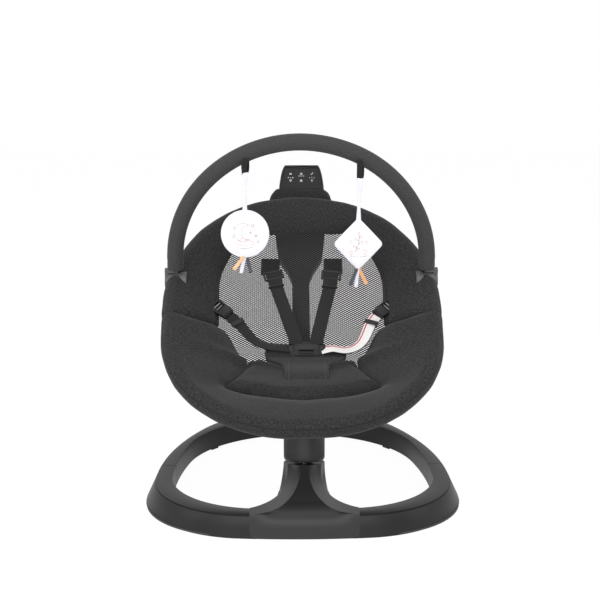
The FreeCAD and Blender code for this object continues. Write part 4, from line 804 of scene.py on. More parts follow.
def cover_section(inner, middle, out, crown, peak, sink):
    """A closed section of a seat cover, from its inner seam over the padding and round the roll.

    Crown is the padding's height over the straight line and peak its place along it.
    Sink draws the cloth down where a seam holds it.
    """
    rest = roll_point(middle, out, PAD_MEETS)
    line = unit(rest - inner)
    rise = unit(ABOVE - line * (ABOVE @ line))
    reach = np.linalg.norm(rest - inner)
    top = []
    for t in np.linspace(0, 1, 19):
        if t < peak:
            full = 1 - (1 - t / peak) ** 2.1
        else:
            full = 1 - ((t - peak) / (1 - peak)) ** 1.5
        top.append(inner + line * reach * t + rise * (crown * full - sink))
    wall = [inner - rise * (drop + sink) + line * along
            for drop, along in ((12, 3.0), (4.5, -0.5), (1.4, -0.1))]
    radius = ROLL - sink * 0.45
    # a sewn groove runs along the roll's shoulder
    roll = [roll_point(middle, out, a, radius) for a in (92, 80, 68, 56, 46, 40)]
    roll += [roll_point(middle, out, a, radius - deep)
             for a, deep in ((37, 0.5), (35.2, 2.6), (33.6, 0.4))]
    roll += [roll_point(middle, out, a, radius)
             for a in (28, 16, 4, -8, -20, -32, -46, -62, -78, -94, -112, -132)]
    under = [roll[-1] * (1 - t) + (inner - rise * PAD_DEPTH + line * 8) * t
             for t in (0.33, 0.66, 1.0)]
    return np.array(wall + top + roll + under)


def seam_line(anchors, rows, run):
    """A seam's points, and for each the run along the rim that it goes with."""
    keys = [find(rows, run) for find, _ in anchors]
    reach = [np.linspace(a, b, 12, endpoint=False) for a, b in zip(keys, keys[1:])]
    return through([place for _, place in anchors], 12), np.concatenate([*reach, keys[-1:]])


def seat_cover(name, anchors, start, stop, crown, peak, seed):
    """One half of a seat cover, from the side seam, joined with its mirror image.

    Anchors give the inner seam's point for each run along the rim.
    """
    rows, points, outward, run = rim_stations(min(start, stop), max(start, stop))
    if stop < start:
        rows, points, outward = rows[::-1], points[::-1], outward[::-1]
    line, reach = seam_line(anchors, rows, run)
    inner = read_off(run, reach, line)
    half = []
    for i, at in enumerate(run):
        near = math.exp(-(at / 7.0) ** 2)
        half.append(cover_section(inner[i], points[i], outward[i],
                                  crown(at / run[-1]) * (1 - 0.6 * near), peak, 2.2 * near))
    half = np.array(half)
    whole = np.concatenate([half, half[::-1][1:] * np.array([-1, 1, 1])])
    whole = gathered(cloudy(cloudy(whole, 70.0, 1.5, seed), 24.0, 0.45, seed + 5))
    return skin(name, whole, charcoal, "charcoal_fabric", "seat")


def gathered(points):
    """Short folds where the covers gather round the toy bar's feet."""
    moved = points.copy()
    for side in (-1, 1):
        away = points - on_rim(side * 246.0, 70.0)
        u = away @ ALONG
        v = -side * away[..., 0]
        reach = np.exp(-((v - 14) / 26) ** 2 - ((u + 6) / 17) ** 2) * (away @ ABOVE > 2)
        fold = np.sin((u + 0.28 * v) / 4.6 + side * 0.6) * 1.9 - 1.4 * np.exp(-((u + 4) / 5) ** 2)
        moved += ABOVE * (reach * fold)[..., None]
    return moved


def at_s(value):
    """The run along the rim where it reaches a station s."""
    def find(rows, run):
        return run[int(np.argmin(np.abs(rows[:, 1] - value) + (rows[:, 0] < 60) * 999))]
    return find


def at_x(value):
    """The run along the rim's end where it reaches x across."""
    def find(rows, run):
        end = np.abs(rows[:, 1]) > 200
        return run[int(np.argmin(np.abs(rows[:, 0] - value) + (~end) * 999))]
    return find


def make_frame_tubes():
    """The seat's alloy tubes inside the rolls: a front bow, two sides and a head bow."""
    low, high = angle_at(RIM, -196.0), angle_at(RIM, 214.0)
    turns = np.arange(0, 360, 30)[:, None]
    for name, start, stop, node in (
            ("frame_bow_front", -180 - low, low, "frame_tube_front"),
            ("frame_side_right", low, high, "frame_tubes_side"),
            ("frame_side_left", 180 - high, 180 - low, "frame_tubes_side"),
            ("frame_bow_head", high, 180 - high, "frame_tube_head")):
        rows = []
        for x, s, across, along in trace(RIM, start, stop, 12.0):
            out = np.array([across, 0, 0]) + ALONG * along
            rows.append(roll_point(on_rim(x, s), out, turns, TUBE_RADIUS))
        piece = skin(name, rows, mill_tube, "tube_alloy", "seat")
        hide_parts(node)


make_frame_tubes()


# The lower and the upper cover meet here along the rim, a hair's gap apart (in degrees)
SIDE_SEAM, SPLIT_GAP = -39.0, 0.014
# Each seam: where along the rim, and the seam's own point there
LOWER_LINE = [
    (at_s(-39), on_back(158, 88)), (at_s(-57), on_back(143, 77)), (at_s(-76), on_back(129, 51)),
    (at_s(-94), on_back(115, 26)), (at_s(-110), (103, -8, 236)), (at_s(-128), (104, -28, 224)),
    (at_s(-155), (112, -68, 220)), (at_s(-190), (126, -110, 217)),
    (at_s(-232), (137, -131, 216)), (at_x(110), (84, -174, 215)), (at_x(0), (0, -203, 215)),
]
UPPER_LINE = [
    (at_s(-39), on_back(158, 88)), (at_s(60), on_back(158.5, 147)),
    (at_s(108), on_back(159, 186)), (at_s(149), on_back(154, 216)),
    (at_s(192), on_back(140.5, 250)), (at_s(246), on_back(121, 304)),
    (at_x(84), on_back(60, 307.5)), (at_x(0), on_back(0, 309.5)),
]


def make_covers():
    """The lower cover goes round the front and the upper one round the head."""
    split = angle_at(RIM, SIDE_SEAM)
    lower = seat_cover("seat_cover_lower", LOWER_LINE, split - SPLIT_GAP, -90,
                       lambda t: 6.5 - 2 * t, 0.37, 0.0)
    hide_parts("front_roll", "side_rolls", "bolster_left", "bolster_right")
    upper = seat_cover("seat_cover_upper", UPPER_LINE, split + SPLIT_GAP, 90,
                       lambda t: 6.0, 0.5, 3.0)
    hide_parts("head_roll", "head_pad")


make_covers()


# ---------------------------------------------------------------- padded pieces that swell

def mesh_places(piece):
    """The places of a piece's mesh points, in metres."""
    flat = np.zeros(len(piece.data.vertices) * 3)
    piece.data.vertices.foreach_get("co", flat)
    return flat.reshape(-1, 3)


def swell(piece, voxel, pressure, cap):
    """Blow a closed piece up a little with the cloth solver, and keep the shape it reaches.

    Voxel is the size of its new faces and cap the most that a point may move, in millimetres.
    """
    scene = bpy.context.scene
    frames = 20
    remesh = piece.modifiers.new("even_faces", "REMESH")
    remesh.mode = "VOXEL"
    remesh.voxel_size = voxel * MM
    freeze(piece)
    rest = mesh_places(piece)
    cloth = piece.modifiers.new("swelling", "CLOTH")
    cloth.settings.quality = 6
    cloth.settings.mass = 0.3
    cloth.settings.tension_stiffness = 12
    cloth.settings.compression_stiffness = 12
    cloth.settings.bending_stiffness = 0.4
    cloth.settings.use_pressure = True
    cloth.settings.uniform_pressure_force = pressure
    cloth.settings.effector_weights.gravity = 0
    cloth.point_cache.frame_start = 1
    cloth.point_cache.frame_end = frames
    for step in range(1, frames + 1):
        scene.frame_set(step)
    freeze(piece)
    scene.frame_set(1)
    moved = mesh_places(piece) - rest
    moved -= moved.mean(axis=0)
    length = np.linalg.norm(moved, axis=1, keepdims=True)
    moved *= np.minimum(1, cap * MM / np.maximum(length, 1e-9))
    piece.data.vertices.foreach_set("co", (rest + moved).ravel())
    piece.data.update()
    finer = piece.modifiers.new("finer_skin", "SUBSURF")
    finer.levels = finer.render_levels = 1
    freeze(piece)
    piece.data.shade_smooth()


def freeze(piece):
    """Turn a piece's modifiers into its mesh."""
    shape = piece.evaluated_get(bpy.context.evaluated_depsgraph_get())
    old = piece.data
    materials = list(old.materials)
    piece.data = bpy.data.meshes.new_from_object(shape)
    piece.data.name = piece.name
    piece.modifiers.clear()
    if not piece.data.materials:
        for material in materials:
            piece.data.materials.append(material)


# ---------------------------------------------------------------- seat cushion

# The cushion's seam: along the crease, down its right side and round to the middle of the front
CREASE = np.array([(0, -19, 216), (50, -18, 217.5), (86, -13, 227), (104, -8, 237)], float)
CUSHION_SIDE = np.array([(104, -8, 236), (114, -28, 224), (124, -68, 220), (138, -110, 217),
                         (148, -133, 216)], float)
CUSHION_FRONT = np.array([(148, -133, 216), (117, -158, 215.4), (84, -174, 215), (44, -193, 215),
                          (0, -203, 215)], float)


def cushion_edge():
    """The cushion's right outline from the middle of the crease to the middle of the front."""
    rear, side, front = (through(line, 10) for line in (CREASE, CUSHION_SIDE, CUSHION_FRONT))
    return spaced(np.vstack([rear[:-1], side[:-1], front]), 61)


def make_cushion():
    """A domed seat pad: its edge is drawn down into the seam all round."""
    right = cushion_edge()
    edge = np.vstack([right, right[::-1][1:-1] * np.array([-1, 1, 1])])
    centre = np.array([0.0, -104.0, 219.0])
    rows = []
    for share, rise in ((0.45, -25.0), (0.8, -24.0), (0.955, -19.0), (0.985, -9.0),
                        (0.992, -3.5), (0.985, -0.8), (0.965, 2.0), (0.93, 4.6), (0.88, 6.6),
                        (0.8, 8.4), (0.68, 9.8), (0.52, 10.6), (0.34, 11.0), (0.17, 11.1)):
        row = centre + (edge - centre) * share
        row[:, 2] = edge[:, 2] * share + centre[2] * (1 - share) + rise
        rows.append(row)
    points, faces, _ = loft(cloudy(rows, 60.0, 1.6, 9.0))
    uvs = [(points[v][1], points[v][0]) for f in faces for v in f]
    piece = build("seat_cushion_pad", points, faces, charcoal_flat, "charcoal_fabric", "seat",
                  uvs, 60)
    swell(piece, 5.0, 1.6, 5.0)
    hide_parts("seat_cushion")


make_cushion()


# Half the crotch panel's width at the front and across its wings
PAD_HALF, WING_HALF = 39, 77


def pad_path():
    """The crotch pad's middle line: from the front slot over the cushion and up the crease."""
    return through([(7, -140, 219), (7, -132, 229), (7, -112, 236.5), (7, -80, 238),
                    (7, -52, 237.5), (7, -32, 238), on_back(7, 15, 7.2), on_back(7, 26, 6.4),
                    on_back(7, 37, 5.2)], 8)


def make_crotch_pad():
    """A padded panel that spreads into two wings under the buckle."""
    path = spaced(pad_path(), 34)
    across = np.array([1.0, 0, 0])
    up = np.cross(across, unit(np.gradient(path, axis=0)))
    up *= np.sign(up[:, 2:3])
    last = len(path) - 1
    rows = []
    for i, (p, n) in enumerate(zip(path, up)):
        wing = 1 / (1 + math.exp(-(i / last - 0.665) * 14))
        half = PAD_HALF + (WING_HALF - PAD_HALF) * wing
        ending = min(1.0, i / 2.0, (last - i) / 2.0)
        thick = 4.6 * (0.25 + 0.75 * math.sqrt(ending))
        section = np.array(rounded_box(half * (0.97 + 0.03 * ending), thick, thick * 0.9, 3))
        belly = 1.8 * ending * (1 - (section[:, :1] / half) ** 2)
        rows.append(p + section[:, :1] * across
                    + (section[:, 1:] + np.where(section[:, 1:] > 0, belly, 0)) * n)
    piece = skin("crotch_panel", rows, charcoal_pad, "charcoal_fabric", "seat")
    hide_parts("crotch_pad")
    sewn = slice(2, 22)
    for name, side in (("left", -1), ("right", 1)):
        seam = path[sewn] + across * side * 32.5 + up[sewn] * 6.1
        stitches(f"crotch_seam_{name}", seam, up[sewn])


def stitches(name, line, normals, length=3.2, gap=1.6, width=0.7, material=stitch_thread):
    """A run of short sewing stitches along a line, lying on the cloth."""
    run = travelled(line)
    threads = []
    begin = 0.0
    while begin + length < run[-1]:
        a, b = read_off(begin, run, line), read_off(begin + length, run, line)
        n = unit(read_off(begin + length / 2, run, normals))
        w = np.cross(n, unit(b - a)) * width / 2
        crest = (a + b) / 2 + n * width * 0.6
        mid = (a + b) / 2
        threads.append(([a - w * 0.5, a + w * 0.5, mid + w, b + w * 0.5, b - w * 0.5, mid - w,
                         crest + w * 0.3, crest - w * 0.3],
                        [(0, 1, 6, 7), (1, 2, 6), (2, 3, 6), (3, 4, 7, 6), (4, 5, 7), (5, 0, 7),
                         (5, 4, 3, 2, 1, 0)]))
        begin += length + gap
    return build(name, *joined(threads), material, "webbing", "seat", None, 60)


make_crotch_pad()


# ---------------------------------------------------------------- mesh panel

def mesh_outline():
    """The mesh panel's visible outline in its own plane, as (across, up) points."""
    side = through([(158, 88, 0), (158.5, 147, 0), (159, 186, 0), (154, 216, 0),
                    (140.5, 250, 0), (121, 304, 0)], 8)
    top = through([(121, 304, 0), (60, 307.5, 0), (0, 309.5, 0)], 6)
    low = through([(158, 88, 0), (143, 77, 0), (129, 51, 0), (115, 26, 0), (104, -6, 0),
                   (80, -17, 0), (40, -18, 0), (0, -18, 0)], 6)
    right = np.vstack([low[::-1][:-1], side[:-1], top])[:, :2]
    left = right[::-1][1:-1] * np.array([-1, 1])
    return np.vstack([right, left])


def inside_of(outline, points):
    """Which points lie inside a closed outline."""
    x, y = points[:, 0], points[:, 1]
    inside = np.zeros(len(points), bool)
    for a, b in zip(outline, np.roll(outline, -1, axis=0)):
        crosses = (a[1] > y) != (b[1] > y)
        with np.errstate(divide="ignore", invalid="ignore"):
            at = (b[0] - a[0]) * (y - a[1]) / (b[1] - a[1]) + a[0]
        inside ^= crosses & (x < at)
    return inside


# One cell of the knit and the hole in it
CELL_WIDE, CELL_HIGH = 7.6, 4.6
HOLE_WIDE, HOLE_HIGH = 4.6, 1.44


def grown(outline, by):
    """A closed outline carried outwards from its middle."""
    centre = outline.mean(axis=0)
    reach = np.linalg.norm(outline - centre, axis=1, keepdims=True)
    return centre + (outline - centre) * (1 + by / reach)


def make_mesh_panel():
    """A knitted mesh: rows of lens-shaped holes, each row set half a cell over.

    A yarn's section is a triangle: flat to the front, with its edge at the back.
    """
    outline = mesh_outline()
    spots = np.array([((column + 0.5 * (row % 2)) * CELL_WIDE, row * CELL_HIGH / 2)
                      for row in range(-2, 140) for column in range(-24, 25)])
    spots = spots[inside_of(grown(outline, 3.5), spots)]
    corner = {}
    points, faces = [], []
    # a hole's cell is a diamond that meets its four neighbours along its sides
    cell = [(CELL_WIDE / 2, 0), (0, CELL_HIGH / 2), (-CELL_WIDE / 2, 0), (0, -CELL_HIGH / 2)]
    slit = [(HOLE_WIDE / 2, 0), (HOLE_WIDE * 0.18, HOLE_HIGH / 2),
            (-HOLE_WIDE * 0.18, HOLE_HIGH / 2), (-HOLE_WIDE / 2, 0),
            (-HOLE_WIDE * 0.18, -HOLE_HIGH / 2), (HOLE_WIDE * 0.18, -HOLE_HIGH / 2)]

    def sag(x, d):
        """The panel gives a little in its middle."""
        return -2.0 * max(0.0, 1 - (x / 160) ** 2) * max(0.0, 1 - ((d - 150) / 160) ** 2)

    def vertex(x, d, back):
        key = (round(x * 20), round(d * 20), back)
        if key not in corner:
            corner[key] = len(points)
            points.append(on_back(x, d, sag(x, d) + (-0.75 if back else 0.0)))
        return corner[key]

    for x, d in spots:
        front = [vertex(x + a, d + b, False) for a, b in cell]
        rear = [vertex(x + a, d + b, True) for a, b in cell]
        hole = []
        for a, b in slit:
            hole.append(len(points))
            points.append(on_back(x + a, d + b, sag(x, d) - 0.1))
        for outer, turn in ((front, 1), (rear, -1)):
            ring = [(outer[0], outer[1], hole[1], hole[0]), (outer[1], hole[2], hole[1]),
                    (outer[1], outer[2], hole[3], hole[2]),
                    (outer[2], outer[3], hole[4], hole[3]), (outer[3], hole[5], hole[4]),
                    (outer[3], outer[0], hole[0], hole[5])]
            faces += [face[::turn] for face in ring]
    piece = build("mesh_back", np.array(points), faces, mesh_yarn, "mesh_fabric", "seat", None, 30)
    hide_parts("mesh_panel")


make_mesh_panel()


def make_mesh_tapes():
    """A woven tape sewn over the mesh panel's side edges."""
    rows, points, outward, run = rim_stations(angle_at(RIM, SIDE_SEAM), 90)
    line, reach = seam_line(UPPER_LINE[:6], rows, run)
    middles = read_off(reach, run, points)
    outs = unit(read_off(reach, run, outward))
    strips = []
    for p, middle, out in list(zip(line, middles, outs))[1:-1]:
        slope = unit(roll_point(middle, out, PAD_MEETS) - p)
        rise = unit(ABOVE - slope * (ABOVE @ slope))
        strips.append([p + slope * along + rise * lift for along, lift in (
            (-2.2, -0.2), (-2.0, 1.0), (1.0, 1.9), (5.0, 3.1), (9.0, 4.0),
            (10.2, 3.8), (10.0, 2.2), (5.0, 1.2), (0.0, 0.0))])
    for name, side in (("right", 1), ("left", -1)):
        skin(f"mesh_tape_{name}", np.array(strips) * [side, 1, 1], binding_tape,
             "charcoal_fabric", "seat", 50)


make_mesh_tapes()


# ---------------------------------------------------------------- harness

def block(middle, along, across, half_long, half_wide, half_thick, ease, pinch=1.0):
    """A block with eased edges, as (points, faces); pinch narrows its far end."""
    along, across = unit(along), unit(across)
    up = np.cross(along, across)
    rows = []
    for end, edge in ((-1, 1.0), (-1, 0.3), (-1, 0.0), (1, 0.0), (1, 0.3), (1, 1.0)):
        inset = ease * edge
        share = pinch if end > 0 else 1.0
        section = np.array(rounded_box((half_wide - inset) * share, half_thick - inset, ease, 2))
        base = middle + along * end * (half_long - ease + inset)
        rows.append(base + section[:, :1] * across + section[:, 1:] * up)
    return loft(rows)[:2]


def strap(name, path, half_width, lean, material, thick=0.8, lift=0.0, aside=0.0):
    """Flat webbing along a path; lean turns its face, in degrees, at each given point."""
    line = through(path, 8)
    ahead = unit(np.gradient(line, axis=0))
    turns = np.radians(spread(lean, len(line)))
    rows = []
    for p, t, turn, half in zip(line, ahead, turns, spread(half_width, len(line))):
        n = unit(TOWARD - t * (TOWARD @ t))
        w = np.cross(n, t)
        n, w = n * math.cos(turn) + w * math.sin(turn), w * math.cos(turn) - n * math.sin(turn)
        section = np.array(rounded_box(half, thick, thick * 0.9, 2))
        rows.append(p + n * lift + w * aside + section[:, :1] * w + section[:, 1:] * n)
    return skin(name, rows, material, "webbing", "seat", 50)


def plane_path(points):
    """Points over the backrest's plane as a path."""
    return [on_back(*p) for p in points]


def make_shoulder_straps():
    """Two straps from the patches at the shoulders to the buckle, with their adjusters."""
    straps, ladders = [], []
    for name, side, top, slide, end in (
            ("left", -1, (-57.5, 222), (-47.6, 177), (-12.0, 46.0)),
            ("right", 1, (61.0, 222), (55.0, 175), (28.0, 46.0))):
        path = plane_path([(*top, 2.5), (slide[0] * 0.55 + top[0] * 0.45, 200, 5.5),
                           (*slide, 6.5), (slide[0] * 0.62 + end[0] * 0.38, 130, 9.0),
                           (slide[0] * 0.25 + end[0] * 0.75, 82, 13.0),
                           (end[0], end[1] + 4, 15.0), (end[0], end[1] - 4, 13.5)])
        straps.append(strap(f"shoulder_strap_{name}", path, 12.7, 0, webbing))
        ahead = unit(path[2] - path[0])
        across = unit(np.cross(TOWARD, ahead))
        # the strap is doubled back under the keeper, a little wider than itself
        folded = [p + TOWARD * 1.9 for p in (path[0] + ahead * 6, path[1], path[2] + ahead * 3)]
        strap(f"shoulder_fold_{name}", folded, [15.2, 14.6, 13.2], 0, webbing)
        keeper = path[2] + TOWARD * 1.0
        ladder = path[1] + TOWARD * 1.0 + UP_BACK * 3
        parts = [block(keeper + TOWARD * 2.6, across, ahead, 13.6, 1.5, 1.1, 0.7),
                 block(keeper - TOWARD * 2.0, across, ahead, 13.6, 1.9, 0.9, 0.7)]
        for way in (-1, 1):
            parts.append(block(keeper + across * way * 13.9, TOWARD, ahead, 3.0, 1.9, 1.0, 0.6))
            # the ladder's ear on the outer side stands a little farther out
            ear = ladder + across * way * (18.5 if way == side else 16.0)
            parts.append(block(ear, ahead, across, 11.0, 2.1, 2.3, 1.2))
        for step, raised in ((-10.0, -0.9), (9.5, 0.6)):
            rung = ladder + ahead * step + TOWARD * raised
            parts.append(block(rung, across, ahead, 17.0, 1.7, 1.5, 0.9))
        ladders.append(build(f"shoulder_ladder_{name}", *joined(parts), buckle_acetal,
                             "buckle_plastic", "seat", None, 40))
        patch = on_back(top[0] + side * 1.5, top[1] + 3, 4.4)
        square, faces = block(patch, UP_BACK, (1, 0, 0), 19.0, 18.0, 1.3, 0.8)
        build(f"shoulder_patch_{name}", cloudy(square, 14.0, 0.5, side * 3.0), faces,
              patch_cloth, "webbing", "seat", None, 40)
        corners = [patch + UP_BACK * b * 17.6 + np.array([a * 16.0, 0, 0]) + TOWARD * 1.4
                   for a, b in ((-1, -1), (1, -1), (1, 1), (-1, 1), (-1, -1))]
        border = np.vstack([np.linspace(p, q, 12, endpoint=False)
                            for p, q in zip(corners, corners[1:])] + [corners[:1]])
        stitches(f"shoulder_patch_seam_{name}", border, [TOWARD] * len(border), 2.6, 1.0, 1.0,
                 patch_thread)
        tack = [ladder + ahead * -6.5 + across * t + TOWARD * 4.4
                for t in np.linspace(-13.5, 13.5, 12)]
        stitches(f"shoulder_bar_tack_{name}", tack, [TOWARD] * len(tack), 1.7, 1.4, 0.9)
    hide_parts("shoulder_adjusters")
    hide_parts("shoulder_straps")


make_shoulder_straps()


def make_side_clip(name, path):
    """A side-release clip on a waist strap: its socket, two arms and the tongue's bars."""
    ahead = unit(path[3] - path[1])
    across = unit(np.cross(TOWARD, ahead))
    middle = path[1] * 0.45 + path[2] * 0.55 + TOWARD * 2.5
    arm = middle - ahead * 5
    parts = [block(middle + ahead * 12, ahead, across, 9.5, 13.0, 4.4, 1.6, 0.94),
             block(arm + across * 11.4, ahead, across, 11.5, 2.2, 3.8, 1.3),
             block(arm - across * 11.4, ahead, across, 11.5, 2.2, 3.8, 1.3),
             block(middle - ahead * 15.5, across, ahead, 12.6, 2.4, 3.4, 1.2),
             block(middle + ahead * 21.8, across, ahead, 12.8, 2.0, 2.6, 1.0)]
    clip = build(f"side_clip_{name}", *joined(parts), buckle_acetal, "buckle_plastic", "seat",
                 None, 40)
    # the bars are painted pale grey: a painted highlight, not the acetal's own colour
    raised = middle + TOWARD * 1.2
    bars = [block(raised - ahead * 8.4, across, ahead, 9.0, 1.15, 1.3, 0.6),
            block(raised - ahead * 1.6, across, ahead, 8.0, 1.05, 1.3, 0.6)]
    build(f"side_clip_bars_{name}", *joined(bars), bar_acetal_painted_highlight, "buckle_plastic", "seat", None, 40)
    return clip


def make_waist_keeper(name, side, path):
    """A webbing loop that holds the strap's free end flat; it leans with the strap."""
    keeper = path[4] + TOWARD * 1.0
    near = unit(path[5] - path[3])
    wide = unit(unit(np.cross(TOWARD, near)) + TOWARD * 0.3 * side)
    parts = [block(keeper + TOWARD * 2.6, wide, near, 13.2, 4.6, 1.5, 1.0),
             block(keeper - TOWARD * 2.6, wide, near, 13.2, 4.6, 1.2, 1.0),
             block(keeper + wide * 12.8, near, TOWARD, 4.6, 3.6, 1.3, 0.9),
             block(keeper - wide * 12.8, near, TOWARD, 4.6, 3.6, 1.3, 0.9)]
    build(f"waist_keeper_{name}", *joined(parts), webbing_knit, "webbing", "seat", None, 40)


def make_waist_straps():
    """Two straps from the seat's sides to the buckle, each with a clip and a keeper."""
    left = plane_path([(-176, 142, -3), (-163, 131.6, 7), (-147, 118, 9.5), (-133, 105, 10),
                       (-120, 92, 10), (-106, 74, 10), (-88, 52, 10), (-69, 41, 11),
                       (-45, 37.5, 11), (-22, 35.2, 11)])
    right = plane_path([(178, 141, -3), (168, 130, 7), (154, 118, 9.5), (142, 106, 10),
                        (131, 90, 11), (123, 70, 12), (113, 48, 12), (98, 34, 12),
                        (78, 29, 12), (58, 33, 12), (36, 30, 10.5)])
    piece = strap("waist_strap_left", left, 11.5, [0, 0, 0, 2, 8, 18, 24, 26, 25, 18], webbing)
    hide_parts("waist_straps")
    lean = [0, 0, 0, 0, -4, -14, -22, -26, -27, -26, -18]
    strap("waist_strap_right", right, 11.5, lean, webbing)
    # the right strap is turned over, so its white lining shows, with a red line woven in it
    strap("waist_lining_right", right[3:], 10.6, lean[3:], strap_white, 0.35, 1.1)
    strap("waist_red_line", right[3:], 1.3, lean[3:], strap_red, 0.2, 1.6, -6.8)
    for name, side, path in (("left", -1, left), ("right", 1, right)):
        make_side_clip(name, path)
        make_waist_keeper(name, side, path)
    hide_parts("side_release_buckles")


make_waist_straps()


# ---------------------------------------------------------------- toy bar

# The middle between the side hubs; the arch's radius and the cover's; the arch's rise over them
HUB = np.array([0.0, 57.0, 373.36])
BAR_HALF, BAR_RADIUS, BAR_RISE = 237.9, 15.5, 36.0
BAR_TILT = math.radians(13.0)


def bar_point(angle, up=0.0):
    """A point of the bar's middle line, by its angle on the arch or its height on a leg."""
    c, s = math.cos(angle), math.sin(angle)
    # the arch leans a little to the left, and its legs close in
    x = BAR_HALF * c * (1 - 0.011 * (1 - s) ** 2) - 0.4 - 3.0 * s
    z = BAR_RISE + BAR_HALF * math.sin(angle) + up
    return HUB + np.array([x, -z * math.sin(BAR_TILT), z * math.cos(BAR_TILT)])


def make_bar_cover():
    """A knitted sleeve over the arch, with a seam inside and creases where its ends gather."""
    line = [bar_point(0, up) for up in np.linspace(-11.5, 0, 5)[:-1]]
    line += [bar_point(a) for a in np.linspace(0, math.pi, 150)]
    line += [bar_point(math.pi, up) for up in np.linspace(0, -11.5, 5)[1:]]
    ahead = unit(np.gradient(np.array(line), axis=0))
    rear = np.array([0, math.cos(BAR_TILT), math.sin(BAR_TILT)])
    run = travelled(line)
    rows = []
    for p, t, at in zip(line, ahead, run):
        out = unit(np.cross(rear, t))
        near = min(at, run[-1] - at)
        gather = math.exp(-near / 14.0)
        section = []
        for turn in np.linspace(0, 2 * math.pi, 48, endpoint=False):
            radius = BAR_RADIUS + 0.14 * math.sin(3 * turn + at / 31.0)
            radius -= 1.5 * math.exp(-((turn - math.pi) / 0.10) ** 2)
            radius += gather * 0.9 * math.sin(turn * 7 + at * 0.35)
            radius -= 2.5 * math.exp(-near / 1.6)
            section.append(p + (out * math.cos(turn) + rear * math.sin(turn)) * radius)
        rows.append(section)
    piece = skin("bar_cover", rows, bar_jersey, "charcoal_fabric", "toy_bar")
    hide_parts("toy_bar_cover")


make_bar_cover()


# ---------------------------------------------------------------- toys

def pillow(name, outline, thick, centre, body, node):
    """A flat pillow from a closed outline of (x, z) points, with a sewn rim."""
    outline = np.asarray(outline, float)
    count = len(outline)
    puckers = np.sin(np.arange(count) * 2 * math.pi / count * 26)
    profile = [(0.02, 1.0), (0.2, 0.985), (0.4, 0.94), (0.58, 0.85), (0.74, 0.7), (0.86, 0.5),
               (0.94, 0.3), (0.975, 0.16), (1.0, 0.12)]
    rows = []
    for sign in (-1, 1):
        for share, height in profile[::-sign]:
            pucker = 0.175 * puckers * math.exp(-((share - 0.9) / 0.06) ** 2)
            y = sign * (thick / 2 * height + pucker)
            rows.append(np.stack([outline[:, 0] * share, y, outline[:, 1] * share], axis=1)
                        + centre)
    points, faces, _ = loft(rows)
    piece = build(name, cloudy(points, 30.0, 0.5, centre[0]), faces, toy_satin, "toy_fabric",
                  body, None, 70)
    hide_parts(node)
    rim = []
    for x, z in outline:
        p = np.array([x * 0.99, 0, z * 0.99]) + centre
        out = unit([x, 0, z])
        rim.append([p + out * 1.25 * math.cos(a) + np.array([0, 1.25 * math.sin(a), 0])
                    for a in np.linspace(0, 2 * math.pi, 10, endpoint=False)])
    skin(name + "_piping", rim, toy_piping, "toy_fabric", body, 70, looped=True)
    return piece


# Rays that look for a piece's front start here, in metres, and go this way
RAY_START, BACKWARDS = -0.2, Vector((0, 1, 0))


def printed(name, shell, strokes, material, slot, body, proud):
    """Strips of ink laid on a piece's front; a stroke is a line of points and its width."""
    tree = BVHTree.FromPolygons([v.co[:] for v in shell.data.vertices],
                                [p.vertices[:] for p in shell.data.polygons])
    strips = []
    for line, width in strokes:
        rows = []
        for p, t in zip(line, unit(np.gradient(line, axis=0))):
            across = np.array([-t[2], 0, t[0]]) * width / 2
            edges = []
            for q in (p - across, p + across):
                hit = tree.ray_cast(Vector((q[0] * MM, RAY_START, q[2] * MM)), BACKWARDS)[0]
                edges.append(np.array([q[0], hit.y / MM if hit else p[1], q[2]]))
            rows.append([edges[side] - [0, depth, 0] for side, depth in (
                (0, proud), (1, proud), (1, 0.02), (0, 0.02))])
        strips.append(loft(rows))
    build(name, *joined(strips), material, slot, body, None, 60)


def drawn(name, piece, strokes, width, material, body, centre):
    """Lines printed on a pillow's front."""
    lines = []
    for stroke in strokes:
        flat = np.array([(centre[0] + x, centre[1] - 4, centre[2] + z) for x, z in stroke])
        line = through(flat, 5) if len(flat) > 2 else np.linspace(flat[0], flat[-1], 5)
        lines.append((line, width))
    printed(name, piece, lines, material, "toy_fabric", body, 0.22)


def star(x, z, size, turn=0.0):
    """A five-pointed star's closed outline."""
    points = []
    for k in range(11):
        reach = size if k % 2 == 0 else size * 0.42
        angle = math.radians(36 * k + turn)
        points.append((x + reach * math.sin(angle), z + reach * math.cos(angle)))
    return points


def ring_line(x, z, radius, start=0, stop=360, squeeze=1.0):
    """A circle's line, or an arc of it, as (x, z) points."""
    return [(x + radius * math.cos(math.radians(a)), z + radius * squeeze
             * math.sin(math.radians(a))) for a in np.linspace(start, stop, 19)]


def outline_strokes(corner_points):
    """Straight strokes between corners, so that they stay sharp."""
    return [[a, b] for a, b in zip(corner_points, corner_points[1:])]


